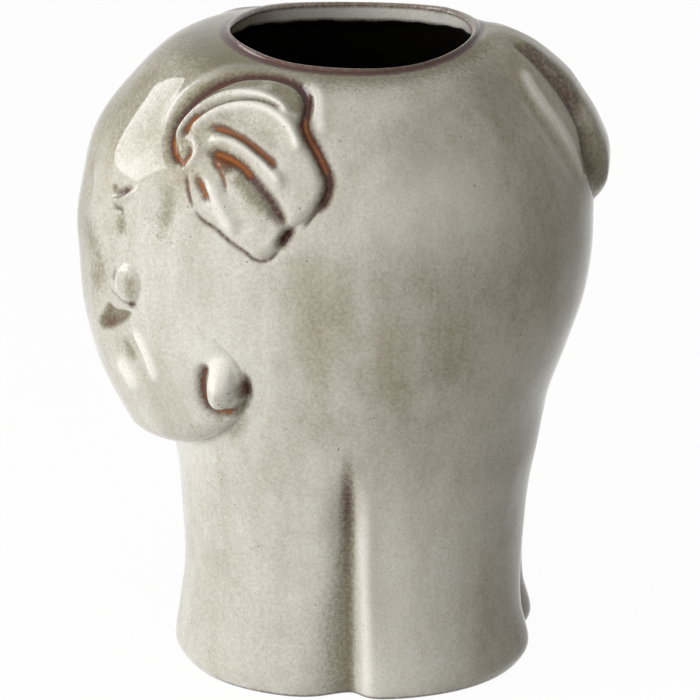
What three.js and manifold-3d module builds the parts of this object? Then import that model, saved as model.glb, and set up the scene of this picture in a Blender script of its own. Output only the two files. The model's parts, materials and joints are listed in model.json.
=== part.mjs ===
// Elephant cachepot in glazed stoneware, in millimetres, +Z up.
// The elephant faces -Y and its left side is +X. The pot stands on z = 0 and
// the origin lies under the middle of its length.
// Angles run round the pot in degrees: 0 at the face, 90 at the left side.

import * as THREE from 'three';
import { mergeVertices } from 'three/addons/utils/BufferGeometryUtils.js';
import Module from 'manifold-3d';

const wasm = await Module();
wasm.setup();

// The hollow body, as rings from the sole to the lip. Each ring lies its rise
// above the one below it and reaches so far to the front, the back and each side.
// The dip lowers it at the two sides.
const sole = { rise: 0, front: 79, back: 81.5, side: 79, dip: 0 };
const foot = { rise: 9, front: 84, back: 85.5, side: 81, dip: 0 };
const ankle = { rise: 17, front: 81.5, back: 81, side: 78.5, dip: 0 };
const knee = { rise: 20, front: 78.5, back: 80, side: 77, dip: 0 };
const thigh = { rise: 28, front: 79.5, back: 81.5, side: 79, dip: 0 };
const groin = { rise: 24, front: 80, back: 85, side: 83.5, dip: 0 };
const chin = { rise: 24, front: 88, back: 88, side: 90, dip: 0 };
const cheek = { rise: 26, front: 106, back: 97, side: 97, dip: 0 };
const flank = { rise: 24, front: 118.5, back: 104.5, side: 101, dip: 0 };
const belly = { rise: 26, front: 123.5, back: 107.5, side: 103, dip: 0 };
const brow = { rise: 24, front: 120.5, back: 105.5, side: 101, dip: 0 };
const forehead = { rise: 21, front: 115, back: 97, side: 96, dip: 0.5 };
const shoulder = { rise: 19, front: 102, back: 82, side: 86, dip: 1.5 };
const crown = { rise: 19, front: 82, back: 66, side: 73, dip: 3 };
const lip = { rise: 6.5, front: 57.5, back: 57, side: 58, dip: 3 };
const rings = [
  sole, foot, ankle, knee, thigh, groin, chin, cheek,
  flank, belly, brow, forehead, shoulder, crown, lip,
];

const wall = 7;
const floorThickness = 9;
const lipRound = 2.5;
const mouthRadius = 52;
const mouthDepth = 6;
const standWidth = 15;
const standRecess = 2.5;

// The four grooves that part the legs.
const grooveAngles = [0, 92, 180, -92];
const grooveTop = 118;
const grooveDepth = 5;
const grooveFootDepth = 9;
const grooveWidth = 7;
const grooveFootWidth = 15;
const legBulge = 1.6;

// The trunk: a thick roll that hangs down the face and curls to the left.
const trunkRoll = 16;
const trunkEdge = 13;
const trunkEndShare = 0.5;
const trunkFade = 72;
const trunkCrest = 1.5;
const trunkHalfWidth = 38;
// Its edge, as millimetres round the skin from the face and above the groin ring.
const trunkOutline = [
  [-39, 96], [-40, 62], [-35, 39], [-24, 25], [-8, 15], [10, 12.5], [30, 12.5], [50, 14.5], [68, 19],
  [84, 27], [95, 34], [104, 43], [110, 53], [110, 66], [100, 78], [80, 92], [55, 106], [0, 122],
];

// The tip of the trunk, a rounded knob in the curl.
const tipAngle = 58;
const tipAboveChin = 30;
const tipHeight = 6.8;
const tipRound = 5.5;
const tipOutline = [
  [-2, 11], [0.5, 15.5], [4.5, 16.5], [7, 12], [8, 5], [7.5, -1], [5.5, -6], [2.5, -8.5], [-1, -8],
  [-3, -5.5], [-4, -1], [-3.5, 5],
];

// The ears, folded like leaves, one on each side.
const earAngle = 64;
const earAboveForehead = 6;
const earThickness = 3.2;
const earRound = 4;
const earOutline = [
  [-31, -2], [-35, 2.5], [-37, 8], [-37, 13], [-36, 18.5], [-33, 24.5], [-28.5, 31], [-23, 36.5],
  [-15.5, 42], [-7, 45], [2, 46], [9, 44.5], [14.5, 41], [18, 36], [19.5, 30.5], [20, 25],
  [21.5, 20], [26, 14.5], [31, 8], [35, 2], [38, -3.5], [38, -9.5], [35.5, -15], [31.5, -20],
  [27.5, -23.5], [23, -27.5], [20.5, -32], [17.5, -36.5], [12, -39.5], [7.5, -38.5], [-3, -32],
  [-10, -27.5], [-17, -24], [-21, -19], [-25, -10.5], [-27.5, -5],
];
// Its folds: the line along each one, its height and its half width.
const earFolds = [
  { line: [[-32, 6], [-30, 18], [-21, 28.5], [-7, 33], [5, 31.5], [14, 25], [22, 11], [30, -5]], height: 4.2, half: 5.5 },
  { line: [[-20, 8], [-12, 11], [-2, 9], [8.5, 3], [16, -3], [20, -11]], height: 2.6, half: 3.6 },
  { line: [[-16, -4], [-7, -15], [1, -26], [9, -34]], height: 3.2, half: 6 },
  { line: [[-22, 13], [-15.5, 16.5], [-4, 13.5], [6, 7.5], [14, 0]], height: -2.2, half: 2.6 },
  { line: [[-20, 4.5], [-13, 4], [-3, 0], [5, -7.5], [11, -14], [17, -19.5], [22, -24], [21, -31]], height: -3.6, half: 3.2 },
  { line: [[-23, -5], [-18, -11], [-12, -17]], height: -2, half: 2.6 },
];

// The tusks, short teardrops beside the trunk.
const tuskAngle = 33;
const tuskAboveFlank = 16;
const tuskHeight = 3.6;
const tuskRound = 5;
const tuskOutline = [
  [-4.5, 7], [0, 9.5], [4.5, 10], [8.5, 7.5], [9.5, 3], [7, -5], [4.5, -8], [-0.5, -7.5],
  [-7.5, -3.5], [-8, 1],
];

// The eyelids, slanting bars across the eyes.
const eyeAngle = 30;
const eyeAboveBrow = 2;
const eyelidHeight = 2.4;
const eyelidRound = 2.6;
const eyelidOutline = [[-7, -3.5], [-3, -2.6], [2, 0.4], [7, 5], [8, 8], [4, 7.6], [-1, 4.6], [-6, 1]];

// The tail, a flap that hangs down the back from the lip on a swollen root.
const tailLength = 94;
const tailTop = 6;
const tailTopHalf = 8;
const tailHalf = 15;
const tailRound = 6;
const tailRootHalf = 24;
// Heights down the tail, each as millimetres below the lip and out of the skin.
const tailRootHeights = [
  [0, 0], [5, 1.8], [10, 3.8], [16, 6.2], [24, 8.5], [34, 9.5], [46, 9.5], [58, 7.5], [70, 4.5],
  [80, 2], [92, 0.5], [98, 0],
];
const tailFlapHeights = [
  [0, 1.6], [14, 2], [24, 3.5], [34, 5.6], [44, 7.2], [54, 7], [64, 6.6], [74, 7.7], [84, 6.2],
  [94, 3.5], [98, 3],
];

const seatGap = 0.3;
const leastEdge = 1.4;

// How finely the faces are cut.
const columns = 76;
const outerRows = 40;
const innerRows = 11;
const earCut = { rings: 6, sides: 42 };
const tailCut = { rings: 5, sides: 30 };
const smallCut = { rings: 4, sides: 22 };

const glaze = { color: 0xb3ab9b, roughness: 0.22, metalness: 0 };
const paleGlaze = { color: 0xc2b9a9, roughness: 0.2, metalness: 0 };
const foldGlaze = { color: 0xa89a86, roughness: 0.2, metalness: 0 };

const radians = THREE.MathUtils.degToRad;
const mix = THREE.MathUtils.lerp;
const clamp = THREE.MathUtils.clamp;
const smooth = THREE.MathUtils.smoothstep;

let stacked = 0;
for (const ring of rings) {
  stacked += ring.rise;
  ring.height = stacked;
}
const lastRow = rings.length - 1;

// One measure of the pot's outline at a row between two rings.
function along(name, row) {
  const i = clamp(Math.floor(row), 0, lastRow - 1);
  const t = row - i;
  const b = rings[i][name];
  const c = rings[i + 1][name];
  const a = i > 0 ? rings[i - 1][name] : 2 * b - c;
  const d = i < lastRow - 1 ? rings[i + 2][name] : 2 * c - b;
  const curve = 2 * a - 5 * b + 4 * c - d;
  const twist = 3 * b - a - 3 * c + d;
  return 0.5 * (2 * b + (c - a) * t + curve * t * t + twist * t * t * t);
}

function rowAtHeight(height) {
  let low = 0;
  let high = lastRow;
  for (let i = 0; i < 40; i += 1) {
    const middle = (low + high) / 2;
    if (along('height', middle) < height) low = middle;
    else high = middle;
  }
  return low;
}

// Length along the side outline from the sole up to each of a few hundred rows.
const skinSteps = 400;
const skinLengths = [0];
for (let i = 1; i <= skinSteps; i += 1) {
  const before = (lastRow * (i - 1)) / skinSteps;
  const here = (lastRow * i) / skinSteps;
  const up = along('height', here) - along('height', before);
  const out = along('side', here) - along('side', before);
  skinLengths.push(skinLengths[i - 1] + Math.hypot(up, out));
}

function skinLength(row) {
  const place = clamp((row / lastRow) * skinSteps, 0, skinSteps - 1e-6);
  const i = Math.floor(place);
  return mix(skinLengths[i], skinLengths[i + 1], place - i);
}

function rowAtLength(length) {
  let i = 0;
  while (i < skinSteps - 1 && skinLengths[i + 1] < length) i += 1;
  const share = (length - skinLengths[i]) / (skinLengths[i + 1] - skinLengths[i]);
  return (lastRow * (i + share)) / skinSteps;
}

// A spot on the skin, as millimetres round and up from an anchor.
function skinSpot(anchor, round, up) {
  const row = rowAtLength(skinLength(anchor.row) + up);
  const angle = anchor.angle + THREE.MathUtils.radToDeg(round / along('side', row));
  return { row, angle };
}

function fromAnchor(anchor, row, angle) {
  let turn = angle - anchor.angle;
  if (turn > 180) turn -= 360;
  if (turn < -180) turn += 360;
  return [radians(turn) * along('side', row), skinLength(row) - skinLength(anchor.row)];
}

// Distance from a point to a line of points, and whether a closed one holds it.
function distanceTo(points, x, y, closed) {
  let best = Infinity;
  let inside = false;
  const count = closed ? points.length : points.length - 1;
  for (let i = 0; i < count; i += 1) {
    const [ax, ay] = points[i];
    const [bx, by] = points[(i + 1) % points.length];
    const dx = bx - ax;
    const dy = by - ay;
    const t = clamp(((x - ax) * dx + (y - ay) * dy) / (dx * dx + dy * dy), 0, 1);
    best = Math.min(best, Math.hypot(x - ax - t * dx, y - ay - t * dy));
    if (ay > y !== by > y && x < ax + ((y - ay) * dx) / dy) inside = !inside;
  }
  return closed && !inside ? -best : best;
}

function smoothLine(points, closed, count) {
  const corners = points.map(([x, y]) => new THREE.Vector3(x, y, 0));
  const curve = new THREE.CatmullRomCurve3(corners, closed, 'centripetal');
  const spots = curve.getSpacedPoints(count).map((spot) => [spot.x, spot.y]);
  if (closed) spots.pop();
  return spots;
}

// A rounded edge: 0 at the outline and 1 from the given width inwards.
function edge(distance, width) {
  if (distance <= 0) return 0;
  if (distance >= width) return 1;
  return Math.sqrt(1 - (1 - distance / width) ** 2);
}

function bell(distance, half) {
  return Math.exp(-((distance / half) ** 2));
}

const trunkLine = smoothLine(trunkOutline, true, 90);
const trunkAnchor = { angle: 0, row: rowAtHeight(groin.height) };

// How far the grooves between the legs sink the skin.
function legRelief(row, angle) {
  const height = along('height', row);
  const share = clamp(height / grooveTop, 0, 1);
  const depth = mix(grooveFootDepth, grooveDepth, Math.min(1, share * 2.2));
  const width = mix(grooveFootWidth, grooveWidth, Math.min(1, share * 1.8));
  const fade = 1 - smooth(share, 0.72, 1);
  let sink = 0;
  for (const groove of grooveAngles) {
    const [round] = fromAnchor({ angle: groove, row: 0 }, row, angle);
    sink += depth * bell(round, width);
  }
  const bulge = -legBulge * Math.cos(radians(4 * angle));
  return (bulge - sink) * fade;
}

// How far the trunk's roll stands out of the skin.
function trunkRelief(row, angle) {
  const [round, up] = fromAnchor(trunkAnchor, row, angle);
  const inside = distanceTo(trunkLine, round, up, true);
  if (inside <= 0) return 0;
  const side = mix(1, trunkEndShare, smooth(round, 30, 105));
  const fade = 1 - smooth(up, 26, 26 + trunkFade);
  return trunkRoll * side * fade * edge(inside, trunkEdge);
}

// Soft crests that run down the face beside the bridge of the trunk.
function crestRelief(row, angle) {
  const [round] = fromAnchor(trunkAnchor, row, angle);
  const height = along('height', row);
  const fade = smooth(height, chin.height, flank.height) * (1 - smooth(height, brow.height, crown.height));
  return trunkCrest * fade * bell(Math.abs(round) - trunkHalfWidth, 9);
}

// A height read off a short list of heights, by smooth steps between them.
function heightDown(list, down) {
  const i = clamp(list.findIndex(([place]) => place > down), 1, list.length - 1);
  const [place, height] = list[i - 1];
  const [nextPlace, nextHeight] = list[i];
  const slope = (a, b) => (b[1] - a[1]) / (b[0] - a[0]);
  const before = slope(list[Math.max(i - 2, 0)], list[i]);
  const after = slope(list[i - 1], list[Math.min(i + 1, list.length - 1)]);
  const run = nextPlace - place;
  const t = clamp((down - place) / run, 0, 1);
  const rise = t * t * (3 - 2 * t);
  return mix(height, nextHeight, rise) + run * t * (1 - t) * (before * (1 - t) - after * t);
}

// The swollen root that carries the tail.
function tailRelief(row, angle) {
  const [round, up] = fromAnchor({ angle: 180, row: lastRow }, row, angle);
  const last = tailRootHeights.at(-1)[0];
  if (-up >= last) return 0;
  return Math.max(0, heightDown(tailRootHeights, -up)) * Math.exp(-((Math.abs(round) / tailRootHalf) ** 3));
}

function skinPoint(row, angle, lift = 0) {
  const facing = Math.cos(radians(angle));
  const across = Math.sin(radians(angle));
  const reach = along(facing > 0 ? 'front' : 'back', row);
  const out = 1 / Math.hypot(facing / reach, across / along('side', row)) + lift;
  const drop = along('dip', row) * across * across;
  return new THREE.Vector3(out * across, -out * facing, along('height', row) - drop);
}

function skinNormal(row, angle) {
  const step = 0.02;
  const below = skinPoint(Math.max(row - step, 0), angle);
  const above = skinPoint(Math.min(row + step, lastRow), angle);
  const before = skinPoint(row, angle - 1);
  const after = skinPoint(row, angle + 1);
  return after.sub(before).cross(above.sub(below)).normalize();
}

// The outer skin with its grooves, trunk, crests and tail root, lifted by a margin.
function outerPoint(row, angle, margin = 0) {
  const point = skinPoint(row, angle, legRelief(row, angle));
  const lift = trunkRelief(row, angle) + crestRelief(row, angle) + tailRelief(row, angle) + margin;
  const normal = skinNormal(row, angle);
  if (row < 0.5) normal.setZ(0).normalize();
  return point.addScaledVector(normal, lift);
}

// The inner skin, one wall inside the outer one.
function innerPoint(row, angle) {
  const point = skinPoint(row, angle, legRelief(row, angle));
  return point.addScaledVector(skinNormal(row, angle), -wall);
}

function circlePoint(radius, angle, height) {
  return new THREE.Vector3(radius * Math.sin(radians(angle)), -radius * Math.cos(radians(angle)), height);
}

// A closed body from rows of points between a first and a last pole.
function bodyFromRows(firstPole, rows, lastPole) {
  const positions = [firstPole.x, firstPole.y, firstPole.z];
  for (const row of rows) {
    for (const point of row) positions.push(point.x, point.y, point.z);
  }
  positions.push(lastPole.x, lastPole.y, lastPole.z);
  const width = rows[0].length;
  const top = 1 + rows.length * width;
  const faces = [];
  for (let i = 0; i < width; i += 1) {
    const next = (i + 1) % width;
    faces.push(0, 1 + next, 1 + i);
    for (let j = 0; j < rows.length - 1; j += 1) {
      const a = 1 + j * width + i;
      const b = 1 + j * width + next;
      faces.push(a, b, a + width, b, b + width, a + width);
    }
    faces.push(top - width + i, top - width + next, top);
  }
  const geometry = new THREE.BufferGeometry();
  geometry.setAttribute('position', new THREE.Float32BufferAttribute(positions, 3));
  geometry.setIndex(faces);
  return geometry;
}

function ringOfPoints(place) {
  const points = [];
  for (let i = 0; i < columns; i += 1) points.push(place((360 * i) / columns));
  return points;
}

function outerSkinRows(margin) {
  const rows = [];
  for (let j = 0; j <= outerRows; j += 1) {
    const row = (lastRow * j) / outerRows;
    rows.push(ringOfPoints((angle) => outerPoint(row, angle, margin)));
  }
  return rows;
}

// The pot itself: sole with a recess, outer skin, rounded lip, inner skin and floor.
function potBody() {
  const rows = [];
  const recess = sole.side - standWidth - grooveFootDepth;
  const mouthTop = lip.height + lipRound;
  rows.push(ringOfPoints((angle) => circlePoint(recess - standRecess, angle, standRecess)));
  rows.push(ringOfPoints((angle) => circlePoint(recess, angle, 0)));
  rows.push(...outerSkinRows(0));
  const dipAt = (angle) => lip.dip * Math.sin(radians(angle)) ** 2;
  for (const turn of [30, 60, 90]) {
    const inward = 1 - Math.cos(radians(turn));
    const up = lipRound * Math.sin(radians(turn));
    rows.push(ringOfPoints((angle) => {
      const start = outerPoint(lastRow, angle);
      const reach = Math.hypot(start.x, start.y);
      const radius = mix(reach, (reach + mouthRadius) / 2, inward);
      return circlePoint(radius, angle, start.z + up);
    }));
  }
  rows.push(ringOfPoints((angle) => circlePoint(mouthRadius + 0.8, angle, mouthTop - 0.8 - dipAt(angle))));
  rows.push(ringOfPoints((angle) => circlePoint(mouthRadius, angle, mouthTop - lipRound - dipAt(angle))));
  rows.push(ringOfPoints((angle) => circlePoint(mouthRadius, angle, mouthTop - mouthDepth - dipAt(angle))));
  const floorRow = rowAtHeight(floorThickness + wall);
  const underLip = lastRow - 0.3;
  for (let j = 0; j <= innerRows; j += 1) {
    const row = mix(underLip, floorRow, j / innerRows);
    rows.push(ringOfPoints((angle) => innerPoint(row, angle)));
  }
  const corner = 6;
  rows.push(ringOfPoints((angle) => {
    const start = innerPoint(floorRow, angle);
    return circlePoint(Math.hypot(start.x, start.y) - corner, angle, floorThickness);
  }));
  const under = new THREE.Vector3(0, 0, standRecess);
  const inside = new THREE.Vector3(0, 0, floorThickness);
  return bodyFromRows(under, rows, inside);
}

function toSolid(geometry) {
  const merged = mergeVertices(geometry, 1e-4);
  const mesh = new wasm.Mesh({
    numProp: 3,
    vertProperties: new Float32Array(merged.attributes.position.array),
    triVerts: new Uint32Array(merged.index.array),
  });
  return new wasm.Manifold(mesh);
}

function fromSolid(solid) {
  const mesh = solid.getMesh();
  const geometry = new THREE.BufferGeometry();
  geometry.setAttribute('position', new THREE.Float32BufferAttribute(mesh.vertProperties, 3));
  geometry.setIndex(Array.from(mesh.triVerts));
  return geometry;
}

// The pot filled solid and grown by the seat gap, which every sprig is cut by.
function seatBlock() {
  const rows = outerSkinRows(seatGap);
  const under = new THREE.Vector3(0, 0, 0);
  const over = new THREE.Vector3(0, 0, lip.height);
  return toSolid(bodyFromRows(under, rows, over));
}

const seat = seatBlock();

// A sprig: a pad over an outline on the skin, domed by a height rule and cut to
// sit on the pot. Mirrored sprigs lie on the right side.
function sprig(anchor, outline, mirrored, cut, heightAt) {
  const line = smoothLine(outline, true, cut.sides);
  if (THREE.ShapeUtils.isClockWise(line.map(([x, y]) => ({ x, y })))) line.reverse();
  const side = mirrored ? -1 : 1;
  const centre = line.reduce(([x, y], [px, py]) => [x + px / line.length, y + py / line.length], [0, 0]);
  const place = (x, y, lift) => {
    const spot = skinSpot(anchor, x, y);
    const point = outerPoint(spot.row, side * spot.angle);
    return point.addScaledVector(skinNormal(spot.row, side * spot.angle), lift);
  };
  const rows = [];
  const sunk = -2;
  rows.push(line.map(([x, y]) => place(x, y, sunk)));
  for (let ring = cut.rings; ring > 0; ring -= 1) {
    const share = Math.sin((Math.PI / 2) * (ring / cut.rings));
    rows.push(line.map(([px, py]) => {
      const x = mix(centre[0], px, share);
      const y = mix(centre[1], py, share);
      const inside = Math.max(0, distanceTo(line, x, y, true));
      return place(x, y, leastEdge + heightAt(x, y, inside));
    }));
  }
  const inside = distanceTo(line, centre[0], centre[1], true);
  const top = place(centre[0], centre[1], leastEdge + heightAt(centre[0], centre[1], inside));
  if (mirrored) rows.forEach((row) => row.reverse());
  const geometry = bodyFromRows(place(centre[0], centre[1], sunk), rows, top);
  return fromSolid(toSolid(geometry).subtract(seat));
}

function named(name, geometry, look) {
  const shaded = geometry.toNonIndexed();
  shaded.computeVertexNormals();
  const mesh = new THREE.Mesh(shaded, new THREE.MeshStandardMaterial(look));
  mesh.name = name;
  return mesh;
}

const earAnchor = { angle: earAngle, row: rowAtHeight(forehead.height + earAboveForehead) };
const foldLines = earFolds.map((fold) => smoothLine(fold.line, false, 24));

function earHeight(x, y, inside) {
  let lift = earThickness;
  earFolds.forEach((fold, i) => {
    lift += fold.height * bell(distanceTo(foldLines[i], x, y, false), fold.half);
  });
  return Math.max(lift, 0.4) * edge(inside, earRound);
}

function ear(mirrored) {
  return sprig(earAnchor, earOutline, mirrored, earCut, earHeight);
}

function tusk(mirrored) {
  const anchor = { angle: tuskAngle, row: rowAtHeight(flank.height + tuskAboveFlank) };
  return sprig(anchor, tuskOutline, mirrored, smallCut, (x, y, inside) => tuskHeight * edge(inside, tuskRound));
}

function eyelid(mirrored) {
  const anchor = { angle: eyeAngle, row: rowAtHeight(brow.height + eyeAboveBrow) };
  const rule = (x, y, inside) => eyelidHeight * edge(inside, eyelidRound);
  return sprig(anchor, eyelidOutline, mirrored, smallCut, rule);
}

function trunkTip() {
  const anchor = { angle: tipAngle, row: rowAtHeight(chin.height + tipAboveChin) };
  return sprig(anchor, tipOutline, false, smallCut, (x, y, inside) => tipHeight * edge(inside, tipRound));
}

function tail() {
  const anchor = { angle: 180, row: lastRow };
  const right = [
    [tailTopHalf, -tailTop], [(tailTopHalf + tailHalf) / 2, -tailLength * 0.4], [tailHalf, -tailLength * 0.75],
    [tailHalf * 0.7, -tailLength * 0.94],
  ];
  const left = right.map(([x, y]) => [-x, y]).reverse();
  const outline = [...right, [0, -tailLength], ...left];
  const rule = (x, y, inside) => heightDown(tailFlapHeights, -y) * edge(inside, tailRound);
  return sprig(anchor, outline, false, tailCut, rule);
}

const cachepot = new THREE.Group();
cachepot.add(named('pot_body', potBody(), glaze));
cachepot.add(named('left_ear', ear(false), foldGlaze));
cachepot.add(named('right_ear', ear(true), foldGlaze));
cachepot.add(named('left_eyelid', eyelid(false), paleGlaze));
cachepot.add(named('right_eyelid', eyelid(true), paleGlaze));
cachepot.add(named('left_tusk', tusk(false), paleGlaze));
cachepot.add(named('right_tusk', tusk(true), paleGlaze));
cachepot.add(named('trunk_tip', trunkTip(), foldGlaze));
cachepot.add(named('tail', tail(), foldGlaze));

// The origin lies under the middle of the whole length.
const reach = new THREE.Box3().setFromObject(cachepot);
cachepot.position.y = -(reach.min.y + reach.max.y) / 2;

export default cachepot;
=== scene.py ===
import json
import math
from collections import namedtuple

import bpy
import numpy as np
from bpy.props import FloatProperty, FloatVectorProperty, PointerProperty
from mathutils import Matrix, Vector


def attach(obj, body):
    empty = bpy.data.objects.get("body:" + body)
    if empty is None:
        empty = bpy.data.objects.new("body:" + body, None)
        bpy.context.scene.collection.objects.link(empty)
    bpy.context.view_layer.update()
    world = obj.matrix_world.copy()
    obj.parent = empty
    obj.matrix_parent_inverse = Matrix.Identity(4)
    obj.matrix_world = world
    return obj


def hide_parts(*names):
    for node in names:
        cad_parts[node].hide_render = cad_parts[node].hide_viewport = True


# The looks of a glazed stoneware cachepot in the shape of an elephant.
# Shapes are worked out in millimetres and made in metres. The elephant faces -Y and
# its left side is +X. Angles run round the pot in degrees, 0 at the face, 90 at the left.

bl_info = {
    "name": "Elephant cachepot",
    "version": (1, 0, 0),
    "blender": (4, 5, 0),
    "location": "3D View > Sidebar > Cachepot",
    "description": "Makes the glazed elephant cachepot round its packed frame",
    "category": "Object",
}

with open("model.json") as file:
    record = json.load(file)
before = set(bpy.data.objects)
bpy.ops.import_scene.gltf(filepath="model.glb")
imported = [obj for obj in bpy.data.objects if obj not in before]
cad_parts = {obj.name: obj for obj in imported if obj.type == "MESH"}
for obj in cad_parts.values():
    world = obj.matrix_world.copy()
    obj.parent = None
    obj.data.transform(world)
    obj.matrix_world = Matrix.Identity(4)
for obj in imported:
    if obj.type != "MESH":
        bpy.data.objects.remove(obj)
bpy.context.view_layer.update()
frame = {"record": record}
MM = 0.001


def pot_axis():
    """How far the pot's own axis lies behind the origin, in millimetres."""
    for opening in frame["record"]["physics"]["openings"]:
        if opening["name"] == "mouth":
            low, high = opening["box_m"]
            return (low[1] + high[1]) / 2 / MM
    raise RuntimeError("the record names no mouth opening")


AXIS = pot_axis()

# The rings of the pot from the sole to the lip. Each lies its rise above the one below
# and reaches so far to the front, the back and each side; the dip lowers its two sides.
Ring = namedtuple("Ring", "rise front back side dip")
SOLE = Ring(0, 79, 81.5, 79, 0)
FOOT = Ring(9, 84, 85.5, 81, 0)
ANKLE = Ring(17, 81.5, 81, 78.5, 0)
KNEE = Ring(20, 78.5, 80, 77, 0)
THIGH = Ring(28, 79.5, 81.5, 79, 0)
GROIN = Ring(24, 81.4, 85, 83.5, 0)
CHIN = Ring(24, 88, 88, 90, 0)
CHEEK = Ring(26, 106, 97, 97, 0)
FLANK = Ring(24, 118.5, 104.5, 101, 0)
BELLY = Ring(26, 123.5, 107.5, 103, 0)
BROW = Ring(24, 120.5, 105.5, 101, 0)
FOREHEAD = Ring(21, 115, 97, 96, 0.5)
SHOULDER = Ring(19, 102, 82, 86, 1.5)
CROWN = Ring(19, 82, 66, 73, 3)
LIP = Ring(6.8, 55.6, 55.2, 56, 2.6)
RINGS = (
    SOLE, FOOT, ANKLE, KNEE, THIGH, GROIN, CHIN, CHEEK,
    FLANK, BELLY, BROW, FOREHEAD, SHOULDER, CROWN, LIP,
)
LAST = len(RINGS) - 1
HEIGHTS = np.cumsum([ring.rise for ring in RINGS])
MEASURES = {name: np.array([getattr(ring, name) for ring in RINGS], float) for name in Ring._fields}
MEASURES["height"] = HEIGHTS.astype(float)


def ring_height(ring):
    return float(HEIGHTS[RINGS.index(ring)])


# What is drawn on the skin. An anchor is an angle and a height. A stroke follows a line of
# millimetres round and up from its anchor. It lifts the skin by its rise, over half its
# width, and tints the glaze by each mark's strength, over its spread.
Anchor = namedtuple("Anchor", "angle height")
# Of the marks, pale also paints highlights and light, and moss and umber also paint shade in places.
Stroke = namedtuple(
    "Stroke", "line rise half rust umber pale moss spread", defaults=(0, 2, 0, 0, 0, 0, 2)
)
EAR = Anchor(64, 249)
EYE = Anchor(30, 224)
TUSK = Anchor(33, 188)
TIP = Anchor(58, 150)
TAIL = Anchor(180, float(HEIGHTS[-1]))
FACE = Anchor(0, 98)

EAR_OUTLINE = (
    (-31, -2), (-35, 2.5), (-37, 8), (-37.2, 12.5), (-36, 18.5), (-33, 24.5), (-28.5, 31),
    (-23, 36.5), (-15.5, 42), (-7, 45.2), (2, 45.8), (9, 44.4), (14.5, 40.8), (18, 36), (19.6, 30.5),
    (19.9, 25), (21.5, 20), (26, 14.6), (31, 8), (35, 2), (37.8, -3.5), (37.8, -9.5), (35.5, -15),
    (31.5, -20), (27.5, -23.5), (23, -27.5), (20.6, -32), (17.5, -36.5), (12, -39.5), (7.5, -38.3),
    (-2.8, -32.2), (-10, -27.4), (-17, -24), (-21, -19), (-24.8, -10.5), (-27.5, -5),
)
CHANNEL_FRONT = ((-29, -2.5), (-32.5, -0.5), (-35.5, 4), (-37, 9), (-36.8, 15), (-34.5, 22))
CHANNEL_TOP = (
    (-34.5, 22), (-30, 29.8), (-24.5, 36.6), (-16.2, 43.4), (-8, 46.8), (1, 47.4), (8.5, 45.6), (14.5, 41),
)
CHANNEL_BACK = (
    (18, 36.3), (19.6, 30.5), (20.4, 23.5), (23.6, 17.5), (27.3, 13.1), (31.3, 7.8), (34.8, 2.6),
    (37.6, -2.5), (38, -7.7), (36.6, -12.9), (33.5, -17.2),
)
HELIX_GROOVE = (
    (-30.5, 8), (-29.2, 12.7), (-26.6, 17.8), (-22.6, 22.6), (-17.6, 26.8), (-11.8, 29.8), (-6, 31.4),
    (0, 31.7), (6, 30.2), (11.4, 27.2),
)
FOLD = (
    (-19, 5.6), (-14.3, 5), (-8, 4), (-2.3, 1.6), (2.3, -1.7), (7, -5.7), (11.5, -9.9), (15.4, -14),
    (18.4, -18.2), (20.9, -21.9), (23.3, -24),
)
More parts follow.
